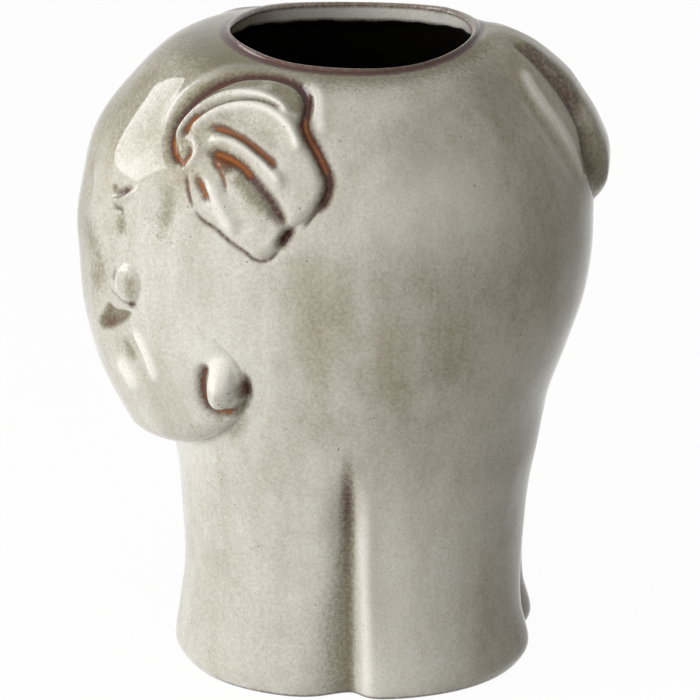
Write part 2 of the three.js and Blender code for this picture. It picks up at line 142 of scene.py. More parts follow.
EAR_STROKES = (
    # The channel round the helix, dark with run glaze and orange at both ends.
    Stroke(CHANNEL_FRONT + CHANNEL_TOP[1:] + CHANNEL_BACK, rise=-2.4, half=2.4, umber=0.97, spread=2.7),
    Stroke(CHANNEL_FRONT[:-1], rust=0.95, spread=1.8),
    Stroke(((-33, 25), (-24.5, 36.4), (-16, 43.2), (-8, 46.6)), rust=0.45, spread=1.4),
    Stroke(CHANNEL_BACK[1:8], rust=0.85, spread=2),
    Stroke(
        ((36.6, -12.9), (33.5, -17.2), (31, -21.3), (29.5, -25)),
        rise=-1, half=1.3, umber=0.7, spread=1.1,
    ),
    # The plate behind the helix, grey with speckle where the channel widens.
    Stroke(
        ((-31, 24), (-24, 32), (-16.5, 37), (-7.8, 39.8), (0, 40.6)),
        rise=-0.5, half=3, moss=0.75, umber=0.06, spread=3.8,
    ),
    Stroke(
        ((-2, 40.8), (8.5, 37.8), (14, 33), (17.5, 26)),
        rise=-1.1, half=4.2, moss=0.85, umber=0.16, spread=4.6,
    ),
    # The raised lip of skin outside the channel, pale partly from its glaze and partly from a painted
    # highlight along it.
    Stroke(
        ((-42.5, 10), (-41.5, 21), (-37.5, 30.5), (-30, 39), (-22.5, 46), (-14, 50.6), (-5, 52.6),
         (6, 51), (16.7, 45), (23.5, 36), (26, 27.3), (30, 18)),
        rise=1, half=3, pale=0.7, spread=2.8,
    ),
    # The helix, two ridges with a groove between them; the ridges carry painted highlights.
    Stroke(
        ((-33, 5.4), (-32.6, 10.7), (-31, 15.5), (-28.4, 20.4), (-24, 26), (-18.6, 30.4), (-12.5, 33.2),
         (-6, 34.4), (0, 34.2), (5.6, 32.6), (10, 30), (15, 26)),
        rise=2.2, half=1.8, pale=1, spread=1.7,
    ),
    Stroke(
        ((-28, 10.6), (-24.8, 16.4), (-20.6, 21.4), (-15, 25.4), (-8.6, 28), (-1.4, 28.9), (5.4, 27.4),
         (12.4, 23.4), (18.5, 17.3), (22.6, 9)),
        rise=2.4, half=2.5, pale=0.95, spread=2.2,
    ),
    Stroke(HELIX_GROOVE, rise=-1.4, half=1.2, rust=0.4, umber=0.5, spread=1.1),
    Stroke(HELIX_GROOVE[:4], rust=0.9, umber=0.3, spread=1.8),
    # The scroll where the ear springs from the head, with painted highlights on its ball and on the bridge
    # beside it.
    Stroke(((-28.8, 3.2), (-28.4, 2.8)), rise=1.8, half=1.9, pale=0.4, spread=1.2),
    Stroke(
        ((-33.6, 3.4), (-31.3, 0), (-28.3, -1.7), (-25.8, -0.4), (-24.8, 2.4), (-26.3, 5.6), (-28.6, 6.6)),
        rise=-1.5, half=1.3, rust=0.9, umber=0.55, spread=1.4,
    ),
    Stroke(
        ((-27, 10.8), (-24.3, 8.8), (-22.2, 5), (-22.7, 1), (-24.7, -1.9), (-28, -5)),
        rise=1.4, half=2.2, pale=0.6, spread=1.8,
    ),
    # The folds of the leaf: glaze run brown and orange into the creases, with painted shade in one hollow and
    # painted highlights on the ridges.
    # Painted shade: the hollow under the helix darkened with moss.
    Stroke(((-18, 21), (-6, 22), (6, 17), (14, 8)), rise=-0.9, half=4.2, moss=0.28, umber=0.04, spread=3.4),
    Stroke(((-20, 17), (-14.5, 17.6), (-7, 16.4)), umber=0.35, moss=0.4, spread=1.2),
    Stroke(
        ((-21.4, 14), (-17, 16), (-11.4, 15.6), (-5.7, 14.2), (0.3, 11.3), (5, 8.4), (9.5, 5.6),
         (12.9, 2.8), (15.2, -0.8)),
        rise=-2, half=1.8, rust=0.85, umber=0.55, spread=2,
    ),
    # Painted highlight along the ridge under the first crease.
    Stroke(
        ((-18, 8.6), (-12.6, 11), (-7.4, 10.8), (-1.6, 9), (4.4, 5.8), (10.7, 1.6), (15.2, -2.5), (18.8, -8)),
        rise=2.2, half=2.4, pale=0.6, spread=2,
    ),
    Stroke(FOLD, rise=-3.2, half=2.6, umber=0.85, spread=2.6),
    Stroke(FOLD[:6], rust=0.9, spread=2.3),
    Stroke(FOLD[5:9], rust=0.3, spread=1.2),
    Stroke(((-15, 3.4), (-9, 0.5), (-3, -3)), umber=0.6, rust=0.6, moss=0.4, spread=3.2),
    Stroke(
        ((-16, 4), (-12.7, 0.8), (-8.6, -3.9), (-6.1, -8.5), (-4.4, -12.4)),
        rise=-0.9, half=1.2, rust=0.75, umber=0.3, spread=1,
    ),
    Stroke(
        ((-5.3, -2.1), (0.7, -6.5), (6.8, -11.7), (12.4, -15.4), (16, -19), (17.5, -23)),
        moss=0.7, spread=3.6,
    ),
    Stroke(
        ((24, -21.5), (23.5, -25.4), (21.9, -28.1), (20.2, -31.3), (18.4, -34.6)),
        rise=-3, half=2, umber=1, rust=0.3, spread=2.6,
    ),
    Stroke(
        ((-21.2, -3.8), (-19.2, -7.3), (-16.3, -10.7), (-13.7, -14), (-11.2, -18)),
        rise=-2, half=1.9, rust=0.9, umber=0.45, spread=2,
    ),
    # Painted highlights along the lobe's ridges.
    Stroke(
        ((-14.8, -6.7), (-10.6, -11.9), (-6.6, -18.8), (-2.1, -24.5), (2.1, -28.5)),
        rise=2.2, half=3.8, pale=0.6, spread=3,
    ),
    Stroke(((2, -13), (8, -21), (12, -30)), rise=1, half=4.6, pale=0.1, spread=4),
    Stroke(((-25, -9), (-20, -18), (-14, -22.5)), rise=0.8, half=2.6),
    # The foot of the leaf, a thin brown line.
    Stroke(
        ((-26.8, -4.5), (-25.9, -7.3), (-24.5, -10.9), (-22.7, -15.6), (-19.8, -20.9)),
        rise=-1.1, half=1.1, rust=0.6, umber=0.7, spread=1.1,
    ),
    Stroke(
        ((-20.5, -20), (-16.5, -24.3), (-9.5, -27.5), (-2.8, -32.2), (5.3, -36.6), (8.6, -38.9),
         (11.8, -39.5), (15.4, -38.4), (17.8, -36.2), (20.2, -32)),
        rise=-1.1, half=1, rust=0.3, umber=0.7, spread=0.9,
    ),
)
EAR_PITS = (
    ((-14.2, 10.5), (-4.4, 7)),
    ((-25.5, -21.7), (-22, -23.1), (-20.5, -34)),
    ((40.9, -0.5), (42, -4.9)),
)

LID_LINE = ((-5.6, -0.8), (-0.7, 1.2), (3.6, 3.4), (7.2, 6.3))
FACE_STROKES = (
    # The crease over the lid and the marks under it.
    Stroke(
        ((-5.2, 1.6), (-1.7, 2.8), (1, 4.9), (3.8, 6.9), (6.6, 9.4)),
        rise=-1.3, half=1.6, umber=0.85, rust=0.15, spread=2,
    ),
    Stroke(((-4.9, 8), (-3.8, 5), (-2.4, 3.4)), umber=0.3, moss=0.85, spread=1.9),
    Stroke(
        ((-4.4, -2), (-1.5, -3), (1, -2.9), (4, -2.2)),
        rise=-0.6, half=1.6, umber=0.5, moss=0.6, spread=2,
    ),
    Stroke(((0.2, -3), (1.8, -6.5), (2.8, -10), (3.9, -16)), moss=0.7, umber=0.06, spread=3.8),
    # The bridge of the trunk, mottled, beside its crest, which carries a painted highlight.
    Stroke(
        ((-24.3, -11), (-22.5, -16), (-18.6, -20), (-14.5, -23), (-11, -27), (-11, -34), (-17, -43)),
        rise=-0.4, half=5, moss=0.5, umber=0.04, spread=6,
    ),
    Stroke(
        ((-27, 14), (-26.4, 8.5), (-21.9, 0.6), (-20.4, -8)),
        rise=-0.4, half=3.4, moss=0.28, rust=0.04, spread=4,
    ),
    # Painted highlight along the crest.
    Stroke(
        ((-19, 12), (-15, -4.6), (-10.5, -14.6), (-8, -21.2), (-8, -32.6)),
        rise=0.7, half=4, pale=0.25, spread=3,
    ),
    # The hollow of the temple.
    Stroke(
        ((21.5, 16), (24.5, 11), (26.2, 6), (26.4, 1.5), (26.2, -3), (25, -8)),
        rise=-0.6, half=5, moss=0.5, umber=0.14, rust=0.08, spread=4.4,
    ),
    Stroke(((25.2, -6), (24, -12)), moss=0.4, spread=2.2),
    Stroke(((15, 4), (18, -4), (18, -14)), moss=0.2, spread=8),
    Stroke(((18.6, 6.8), (18.8, 6.6)), moss=0.7, umber=0.2, spread=0.9),
)
TUSK_OUTLINE = (
    (-4.6, 6.8), (-0.4, 9.3), (4.4, 9.8), (8, 8), (9.6, 4.4), (9.2, 0.2), (6.8, -4.8), (4.4, -8),
    (-0.4, -7.6), (-4.4, -5.8), (-7.6, -3.2), (-8.6, -1), (-7, 3),
)
TUSK_STROKES = (
    # Painted highlight down the tusk's ridge.
    Stroke(((-0.4, 8), (-1.1, 3.1), (-1.4, -1.1), (-0.5, -4.4)), rise=0.9, half=1.1, pale=0.6, spread=0.9),
    # Painted shade over the tusk's side turned from the lamps.
    Stroke(
        ((3, 8.4), (5.6, 5), (5.8, 1), (4.6, -3.4), (3.4, -6.8)),
        rise=-0.4, half=2.8, moss=0.55, umber=0.24, spread=4,
    ),
    Stroke(((-2.8, 8), (-3.4, 4.4), (-4, 1)), umber=0.55, moss=0.4, spread=1.7),
    Stroke(
        ((-9.8, -0.4), (-7.5, -4), (-3.6, -6), (0.7, -7.5), (5, -8)),
        rise=-1, half=1.3, umber=0.75, rust=0.3, spread=1.2,
    ),
    Stroke(((1, -7.2), (4.4, -7.2), (6.4, -5)), umber=0.8, rust=0.2, spread=1.8),
    # Painted highlights on the ridge below the tusk and on the cheek's edge beside it.
    Stroke(((-11.5, -4), (-8.4, -7.2), (-2.4, -9.4), (4.4, -10)), rise=0.4, half=1.4, pale=0.2, spread=1),
    Stroke(((10.8, 6), (11, 0), (8.4, -7)), rise=0.3, half=2.4, pale=0.15, spread=1.6),
    # The dark corners of the mouth.
    Stroke(((0.4, -12.4), (-1.4, -14.4)), umber=0.15, moss=0.5, spread=2.4),
    Stroke(((-17.6, -20.4), (-12, -19.4), (-6, -16.4)), rust=0.3, umber=0.4, spread=2.6),
    Stroke(
        ((-18, -21), (-12, -20.6), (-5.4, -18), (2.4, -13.4)),
        rise=-0.4, half=1.6, umber=0.3, rust=0.2, spread=1.6,
    ),
    # The fold that runs down from the mouth to the curl, with a hollow beside it; its ridges carry painted
    # highlights.
    Stroke(
        ((-2, -17.5), (0, -20.6), (3.4, -25), (6, -31)),
        rise=-1, half=1.5, rust=0.12, umber=0.12, moss=0.2, spread=1.2,
    ),
    # Painted highlight along the fold's ridge.
    Stroke(
        ((3.4, -17), (7.6, -21.6), (10.6, -27), (12.6, -33), (13.4, -40)),
        rise=2, half=2.6, pale=1, spread=2.8,
    ),
    Stroke(((-4, -23), (-1, -28), (3.2, -33.4)), rise=-1.8, half=3, moss=0.6, umber=0.3, spread=3),
    # Painted highlight along the lower ridge.
    Stroke(((-8.4, -31), (-4, -36.8), (2.4, -45)), rise=2.1, half=3.8, pale=1, spread=4.4),
    Stroke(((0, -29), (4.4, -35), (8.6, -42)), rise=-1, half=2, moss=0.2, spread=2.2),
)
TUSK_PITS = (((-21.5, -31.4), (-16.4, -29.7), (-13.4, -27.8)),)
# The patch that the tusk's piece covers, with the whole pocket of the mouth.
TUSK_PATCH = (
    (-5, 8), (0, 10), (5, 10.4), (9, 8.6), (10.4, 4.4), (9.6, -1), (7, -8), (4.6, -14.4),
    (-3, -20), (-11, -23.6), (-18, -24.4), (-20.6, -21), (-18.4, -15.6), (-12, -8), (-8.4, 2),
)
MOUTH_OUTLINE = (
    (-10.7, -10), (-7.6, -11.4), (-1.4, -11), (2.2, -10.6), (4, -11.6), (2.6, -14), (-5.7, -19.4),
    (-12.4, -22), (-16.7, -22.8), (-18.8, -20.7), (-16.8, -17.4), (-13.4, -13),
)

TIP_OUTLINE = (
    (-2, 11), (0.2, 15.6), (4.4, 16.4), (7, 12), (7.8, 5), (7.5, -1), (5.6, -6), (2.4, -8.3),
    (-0.8, -8), (-3.2, -5.4), (-4, -1), (-3.4, 5),
)
TIP_STROKES = (
    # Painted light over the knob's face, with its highlight at the top.
    Stroke(((1, 18), (2, 13), (2.4, 6), (2.6, -1)), pale=1, spread=5.5),
    Stroke(
        ((-3.4, 12.5), (-6, 6.6), (-7.2, 0.4), (-6.6, -6), (-3.8, -10.6), (1, -12.4), (5.8, -11), (9.4, -7),
         (11.2, -1.5), (11.4, 4.4), (10.4, 9)),
        rise=-3.2, half=2.7, umber=0.25, moss=0.2, spread=2.4,
    ),
    # The gap under the knob's left side: brown-red glaze and painted shade.
    Stroke(
        ((-3.2, 12), (-5.8, 7), (-7.2, 0.6), (-6.8, -5.4), (-4.4, -9.6), (0, -11.6)),
        umber=0.85, rust=0.6, spread=1.9,
    ),
    Stroke(((-4, -8.6), (-0.6, -11), (3.6, -11.2), (6.4, -9.4)), rust=0.95, umber=0.3, spread=2.8),
    # Painted shade down the knob's right side and below it.
    Stroke(((11, 5), (11, -1.5), (9, -7)), umber=0.9, moss=0.6, spread=2.7),
    Stroke(((9.6, -5), (7, -11), (4, -16)), moss=0.65, umber=0.15, spread=2.6),
)
TIP_PITS = (((1.2, -0.6), (3, -1.6)), ((6, -3), (6.5, -4.4)))

TRUNK_STROKES = (
    Stroke(((72, 28), (90, 36), (104, 47)), moss=0.25, spread=6),
    Stroke(((84, 24), (96, 31), (107, 42)), umber=0.2, moss=0.3, spread=3),
)

# The tail's own height and the height of the swelling under it, read down from the lip.
TAIL_LENGTH = 94
TAIL_SIDE = (
    (7, -8), (10, -22), (12, -TAIL_LENGTH * 0.5), (15, -TAIL_LENGTH * 0.76), (11, -TAIL_LENGTH * 0.93),
)
TAIL_OUTLINE = TAIL_SIDE + ((0, -TAIL_LENGTH),) + tuple((-x, y) for x, y in reversed(TAIL_SIDE))
TAIL_ROOT_HALF = 24
# Places down the back and the height there, of the swelling and of the flap on it.
TAIL_ROOT = (
    (0, 1.4), (6, 4.4), (12, 6.6), (18, 8.6), (24, 10.6), (34, 13), (46, 13.8), (58, 11.4), (70, 7.4),
    (80, 4), (92, 0.8), (100, 0),
)
TAIL_FLAP = (
    (0, 0), (14, 0.4), (24, 1.2), (34, 1.7), (44, 2.3), (54, 2.6), (64, 4.4), (74, 6.8), (84, 6.1), (94, 3.2),
)
# The left half; the right half is the same, mirrored.
TAIL_STROKES = (
    Stroke(((-7, -19), (-9.5, -31), (-10.8, -46), (-12, -58)), umber=0.5, rust=0.3, moss=0.5, spread=3.6),
    Stroke(
        ((-10, -17), (-13, -33), (-14, -48), (-14.6, -60), (-16.4, -72), (-13, -84)),
        rise=-1.6, half=2.4, umber=0.45, rust=0.2, moss=0.4, spread=2,
    ),
    Stroke(((-12.5, -60), (-14, -70), (-12.5, -80), (-7, -90)), moss=0.7, umber=0.08, spread=4),
    Stroke(((-17, -32), (-18.4, -48), (-19, -62), (-19.6, -76)), rust=0.12, umber=0.14, spread=0.9),
    # Painted highlights: the streak along the swelling's ridge and the grazing reflection beside it.
    Stroke(
        ((-21, -27), (-24, -38), (-25, -50), (-25, -62), (-24, -80)),
        rise=1.3, half=2.6, pale=1, spread=2.4,
    ),
    Stroke(((-32, -36), (-36, -52), (-37, -66), (-34, -80)), rise=0.6, half=3, pale=0.4, spread=2.4),
    # Painted shade in the dip between them.
    Stroke(((-27, -32), (-30.5, -48), (-31, -64)), rise=-0.6, half=3, moss=0.25, spread=2.6),
)

TRUNK_OUTLINE = (
    (-39, 96), (-40, 62), (-35, 41), (-24, 30), (-8, 18.6), (10, 15.4), (30, 14.4), (50, 15.2), (68, 19),
    (84, 27), (95, 34), (104, 43), (110, 53), (110, 66), (100, 78), (80, 92), (55, 106), (0, 122),
)
# The roll sinks back into the face above this height over the chin.
TRUNK_FADE_FROM = 26
TRUNK_FADE = 72
CREST_OUT = 38

# A stroke fades out over this length at both ends, or over this share of a short one.
STROKE_TAPER = 6
STROKE_TAPER_SHARE = 0.4
PIT_HALF = 2.2

# How far from its anchor each piece is drawn.
STROKE_REACH = 75
PIT_REACH = 60
EAR_REACH = 60
EYE_REACH = 30
TUSK_REACH = 30
TUSK_STROKES_REACH = 66
TIP_REACH = 40
BACK_REACH = 125
# The leaf of the ear starts this far inside its outline, which is the channel's middle.
EAR_INSET = 1.6
MOUTH_DEPTH = 2
# The mouth's pocket is tinted dark: partly brown glaze, partly painted shade in the recess.
MOUTH_GLAZE_AND_SHADE = (("rust", 0.2), ("umber", 0.26), ("moss", 0.85))
# The grooves between front and hind legs lie at this angle from the face on each side.
GROOVE_TURN = 92

# How finely the faces are cut.
COLUMNS = 330
OUTER_ROWS = 236
INNER_ROWS = 30
RELIEF_STEP = 0.62

# A patch stands proud of the body's skin, but for its buried border, and has this thickness.
PATCH_PROUD = 0.1
PATCH_BURIED = 0.4
PATCH_THICK = 3.2

# The body's skin is sunk under a patch, a little inside its border and then deeper.
PATCH_WIDEST = 65
SINK_SHALLOW = 0.9
SINK_DEEP = 1.8

# The rings over the lip, as bends of its rounding in degrees, and down the neck as shares.
LIP_OUTER_BENDS = (15, 30, 45, 60, 75, 90)
LIP_INNER_BENDS = (18, 36, 54, 72, 90)
LIP_RINGS = len(LIP_OUTER_BENDS) + len(LIP_INNER_BENDS)
NECK_SHARES = (0.25, 0.5, 0.75, 1.0)
# Counted inwards over the lip: the rings with the most brown, the pale ones over its top
# and the last one, from which the pale neck goes down; its pale is partly painted light.
BROWN_RINGS = range(0, 5)
PALE_RINGS = range(3, 7)
NECK_RING = LIP_RINGS - 1
# Beads of glaze on the lip, as width, angle and half width in degrees. Each rises by this
# share of its width.
LIP_BEADS = ((1.1, -134, 3.2), (0.6, -129, 2))
BEAD_RISE = 0.4
# Waves round the pot, each a size, a count and a start in degrees. Those of the lip are
# shares of its wobble.
LIP_WAVES = ((1, 2, 40), (0.7, 5, 10))
MOUTH_WAVES = ((0.6, 3, 70), (0.4, 7, 0))
NECK_WAVES = ((0.35, 9, 0), (0.25, 23, 0))
# The lip's two squarer corners, and the heights between which its shape takes over.
LIP_CORNERS = (318, 216)
LIP_CORNER_HALF = 24
LIP_CORNER_RISE = 0.4
LIP_FROM = 272
LIP_FULL = 287
# On the elephant's left the neck has this share of its depth on the right.
NECK_SHALLOW = 0.35
# Below the neck a last ring steps back outwards and down to the dark inner skin.
NECK_STEP_OUT = 1.8
NECK_STEP_DOWN = 1.2
# The rings round the corner between the inner skin and the floor.
FLOOR_BENDS = (30, 60, 90)
FLOOR_CORNER = 6
# The inner skin starts this far below the lip, in rows.
INNER_START = 0.55
# The pot stands on a flat ring, this wide where the leg grooves cut into it. The steps
# lead up into the recess inside it, as millimetres inwards and up.
STANDING_WIDTH = 15
RECESS_STEPS = ((2.5, 2.5), (0.8, 0.7), (0, 0.0))
# The ring in the middle of the flat lies this much further in, clear of the grooves.
GROOVE_CLEARANCE = 4
# The foot's edge is drawn in by these millimetres, lowest ring first, at this radius.
FOOT_ROUNDING = np.array([0.9, 0.35, 0.1, 0.0])
FOOT_RADIUS = 80
# The order of the materials on the body, after its glaze.
DARK = 1
CLAY = 2

# The camera, a long lens at the photograph's angle. Pixels are the photograph's.
PICTURE_PIXELS = 700
FOCAL_PIXELS = 5840
SHIFT_PIXELS = -3
SENSOR = 36
CAMERA_AWAY = 2.5
CAMERA_TURN = 93
CAMERA_HEIGHT = 0.96
AIM_HEIGHT = 0.139
# The lamps stand round this height, at degrees round from the face and up.
LAMP_AIM = 0.15
# A mirrored lamp shows only in reflections; the others only light the pot.
Lamp = namedtuple("Lamp", "turn rise away width height lean mirrored", defaults=(0, False))
LAMPS = {
    "strip": Lamp(-13, 26, 1.7, 0.8, 1.3, lean=58, mirrored=True),
    "low": Lamp(18, 4, 2.2, 1.2, 1.2),
    "front": Lamp(55, 12, 2.2, 1.2, 1.2),
    "top": Lamp(60, 74, 2.2, 1.2, 1.2),
}
FLOOR_RADIUS = 14.0
FLOOR_SIDES = 96
# How much of the floor the camera and reflections see as white; the rest keeps the shadow.
FLOOR_WHITE = 0.97

# The grooves between the legs: the tree's inputs and the sizes that fill them.
GROOVE_SIZES = {
    "Groove Depth": "groove_depth", "Foot Depth": "groove_foot_depth",
    "Groove Width": "groove_width", "Foot Width": "groove_foot_width",
    "Groove Top": "groove_top", "Leg Bulge": "leg_bulge",
}
LEG_MARKS = ("turn", "reach", "rise", "legs")
# Behind the side groove its wall is steeper, by this share of the width.
REAR_WALL = 0.55

# How strongly each pattern of the mottling browns the cream, and the moss greens it.
CLOUD_SHARE = 0.25
RUN_SHARE = 0.16
VEIL_SHARE = 0.58
GREEN_SHARE = 0.16
# A pinhole opens in a cell whose chance lies above this.
PINHOLE_CHANCE = 0.993
GLAZE_IOR = 1.36

# The glaze's colours: the group's sockets and the settings that fill them.
GLAZE_COLOURS = {
    "Cream": "cream", "Taupe": "taupe", "Moss Colour": "moss", "Fringe Colour": "fringe",
    "Umber Colour": "umber", "Rust Colour": "rust", "Blush Colour": "pale_and_highlight",
}


def mm(length):
    return length / MM


def metres(name, description, default):
    return FloatProperty(name=name, description=description, default=default, unit="LENGTH")


def watts(name, description, default):
    return FloatProperty(name=name, description=description, default=default, unit="POWER")


def tint_of(name, description, default):
    return FloatVectorProperty(
        name=name, description=description, subtype="COLOR", default=default, min=0, max=1
    )


class CachepotShape(bpy.types.PropertyGroup):
    """Sizes of the pot."""

    wall: metres("Wall", "Thickness of the wall", 0.007)
    floor: metres("Floor", "Thickness of the floor", 0.009)
    mouth: metres("Mouth radius", "Radius inside the lip", 0.0533)
    neck: metres("Neck depth", "Height of the pale neck inside the lip", 0.0085)
    lip_round: metres("Lip round", "Rounding of the lip", 0.0014)
    lip_wobble: metres("Lip wobble", "Unevenness of the thrown lip", 0.0003)
    lip_corner: metres("Lip corner", "How far the lip reaches out at its two far corners", 0.0028)
    groove_depth: metres("Groove depth", "Depth of a leg groove at its top", 0.005)
    groove_foot_depth: metres("Groove depth at the foot", "Depth of a leg groove at the foot", 0.009)
    groove_width: metres("Groove width", "Half width of a leg groove at its top", 0.007)
    groove_foot_width: metres("Groove width at the foot", "Half width of a leg groove at the foot", 0.015)
    groove_top: metres("Groove top", "Height at which the grooves end", 0.118)
    leg_bulge: metres("Leg bulge", "How far each leg swells", 0.0016)
    trunk_roll: metres("Trunk roll", "How far the trunk stands out", 0.016)
    trunk_edge: metres("Trunk edge", "Width of the trunk's rounded edge", 0.013)
    trunk_crest: metres("Trunk crest", "Height of the crests beside the bridge", 0.0015)
    ear_height: metres("Ear height", "How far the ear leaf stands out", 0.0026)
    tusk_height: metres("Tusk height", "How far a tusk stands out", 0.0027)
    lid_height: metres("Eyelid height", "How far an eyelid stands out", 0.0017)
    tip_height: metres("Trunk tip height", "How far the trunk's tip stands out", 0.0054)


class CachepotGlaze(bpy.types.PropertyGroup):
    """Colours of the glaze."""

    cream: tint_of("Cream", "Where the glaze is thin and even", (0.62, 0.608, 0.56))
    taupe: tint_of("Taupe", "Clouds in the glaze", (0.256, 0.222, 0.128))
    # Moss and umber also paint shade in some hollows, beside the trunk's tip and in the leg grooves.
    moss: tint_of("Moss", "Green grey pools", (0.14, 0.12, 0.05))
    fringe: tint_of("Fringe", "Blue grey edge of the dark glaze", (0.24, 0.225, 0.15))
    umber: tint_of("Umber", "Dark glaze in creases", (0.075, 0.028, 0.022))
    rust: tint_of("Rust", "Orange brown in creases", (0.36, 0.11, 0.014))
    # Pale glaze on the lip and neck, and the colour of painted highlights and painted light.
    pale_and_highlight: tint_of("Blush", "Pale pinkish ridges", (0.78, 0.76, 0.71))
    inside: tint_of("Inside", "Dark glaze inside the pot", (0.012, 0.010, 0.009))
    clay: tint_of("Clay", "Bare clay of the sole", (0.33, 0.22, 0.14))


class CachepotStage(bpy.types.PropertyGroup):
    """Light and floor."""

    strip: watts("Strip light", "Power of the tall light mirrored on the forehead", 23)
    low: watts("Low light", "Power of the broad light before the face", 33)
    front: watts("Front light", "Power of the broad light before the cheek", 23)
    top: watts("Top light", "Power of the light overhead", 19)
    ambient: FloatProperty(
        name="Ambient", description="Strength of the even light from all round", default=0.1
    )
    ambient_tone: tint_of("Ambient colour", "Colour of the even light", (1, 0.87, 0.62))
    floor_tone: tint_of("Floor", "Colour of the floor", (0.9, 0.9, 0.9))


def clamp(values, low=0.0, high=1.0):
    return np.clip(values, low, high)


def mix(a, b, share):
    return a + (b - a) * share


def smooth(values, low, high):
    t = clamp((values - low) / (high - low))
    return t * t * (3 - 2 * t)


def bell(distance, half):
    return np.exp(-((distance / half) ** 2))


def edge(distance, width):
    """A rounded edge: 0 at the outline and 1 from the given width inwards."""
    return np.sqrt(1 - (1 - clamp(distance / width)) ** 2)


def soft_edge(distance, width, toe=0.7):
    """A modelled edge: it starts a little outside the outline with a fillet."""
    t = clamp((distance + toe) / (width + toe))
    return (1 - (1 - t) ** 2.4) * smooth(t, 0, 0.16)


def along(name, row):
    """One measure of the pot's outline at rows between the rings."""
    values = MEASURES[name]
    row = np.asarray(row, float)
    i = np.clip(np.floor(row).astype(int), 0, LAST - 1)
    t = row - i
    b = values[i]
    c = values[i + 1]
    a = np.where(i > 0, values[np.maximum(i - 1, 0)], 2 * b - c)
    d = np.where(i < LAST - 1, values[np.minimum(i + 2, LAST)], 2 * c - b)
    curve = 2 * a - 5 * b + 4 * c - d
    twist = 3 * b - a - 3 * c + d
    return 0.5 * (2 * b + (c - a) * t + curve * t * t + twist * t * t * t)


FINE_ROWS = np.linspace(0, LAST, 2801)
FINE_HEIGHTS = along("height", FINE_ROWS)
FINE_LENGTHS = np.concatenate(
    ([0], np.cumsum(np.hypot(np.diff(FINE_HEIGHTS), np.diff(along("side", FINE_ROWS)))))
)


def row_at_height(height):
    return np.interp(height, FINE_HEIGHTS, FINE_ROWS)


def skin_length(row):
    """Length along the side outline from the sole up to a row."""
    return np.interp(row, FINE_ROWS, FINE_LENGTHS)


def row_at_length(length):
    return np.interp(length, FINE_LENGTHS, FINE_ROWS)


def from_anchor(anchor, row, angle):
    """Millimetres round and up from an anchor on the skin."""
    turn = (angle - anchor.angle + 180) % 360 - 180
    start = skin_length(row_at_height(anchor.height))
    return np.radians(turn) * along("side", row), skin_length(row) - start


def skin_spot(anchor, x, y):
    """The row and angle of spots given in millimetres round and up from an anchor."""
    start = skin_length(row_at_height(anchor.height))
    row = row_at_length(start + y)
    return row, anchor.angle + np.degrees(x / along("side", row))


def skin_point(row, angle):
    turn = np.radians(angle)
    facing = np.cos(turn)
    across = np.sin(turn)
    reach = np.where(facing > 0, along("front", row), along("back", row))
    out = 1 / np.hypot(facing / reach, across / along("side", row))
    drop = along("dip", row) * across**2
    return np.stack([out * across, -out * facing, along("height", row) - drop], -1)


def unit(vectors):
    return vectors / np.maximum(np.linalg.norm(vectors, axis=-1, keepdims=True), 1e-9)


def skin_normal(row, angle):
    step = 0.02
    below = skin_point(np.maximum(row - step, 0), angle)
    above = skin_point(np.minimum(row + step, LAST), angle)
    round_ = skin_point(row, angle + 1) - skin_point(row, angle - 1)
    normal = np.cross(round_, above - below)
    normal[..., 2] *= smooth(np.asarray(row, float), 0, 0.5)
    return unit(normal)


def smooth_line(points, closed=False, steps=5):
    """A rounded line through the given points."""
    p = np.array(points, float)
    if closed:
        p = np.vstack([p[-1:], p, p[:2]])
    else:
        p = np.vstack([2 * p[:1] - p[1:2], p, 2 * p[-1:] - p[-2:-1]])
    spots = []
    for a, b, c, d in zip(p, p[1:], p[2:], p[3:]):
        k1 = np.linalg.norm(b - a) ** 0.5
        k2 = k1 + np.linalg.norm(c - b) ** 0.5
        k3 = k2 + np.linalg.norm(d - c) ** 0.5
        t = np.linspace(k1, k2, steps, endpoint=False)[:, None]
        ab = (k1 - t) / k1 * a + t / k1 * b
        bc = (k2 - t) / (k2 - k1) * b + (t - k1) / (k2 - k1) * c
        cd = (k3 - t) / (k3 - k2) * c + (t - k2) / (k3 - k2) * d
        abc = (k2 - t) / k2 * ab + t / k2 * bc
        bcd = (k3 - t) / (k3 - k1) * bc + (t - k1) / (k3 - k1) * cd
        spots.append((k2 - t) / (k2 - k1) * abc + (t - k1) / (k2 - k1) * bcd)
    if not closed:
        spots.append(p[-2:-1])
    return np.vstack(spots)


def line_distance(line, x, y, closed=False):
    """Distance to a line, and how far along it the nearest spot lies, from 0 to 1."""
    ends = np.roll(line, -1, axis=0) if closed else line[1:]
    starts = line if closed else line[:-1]
    lengths = np.linalg.norm(ends - starts, axis=1)
    before = np.concatenate(([0], np.cumsum(lengths)))
    best = np.full(x.shape, 1e9)
    place = np.zeros(x.shape)
    for start, end, length, done in zip(starts, ends, lengths, before):
        dx, dy = end - start
        t = clamp(((x - start[0]) * dx + (y - start[1]) * dy) / (length * length))
        distance = np.hypot(x - start[0] - t * dx, y - start[1] - t * dy)
        nearer = distance < best
        best = np.where(nearer, distance, best)
        place = np.where(nearer, (done + t * length) / before[-1], place)
    return best, place


def inside_distance(outline, x, y):
    """Distance inside a closed outline; outside it the distance is negative."""
    distance, _ = line_distance(outline, x, y, closed=True)
    inside = np.zeros(x.shape, bool)
    for (ax, ay), (bx, by) in zip(outline, np.roll(outline, -1, axis=0)):
        crosses = (ay > y) != (by > y)
        if ay != by:
            inside ^= crosses & (x < ax + (y - ay) * (bx - ax) / (by - ay))
    return np.where(inside, distance, -distance)


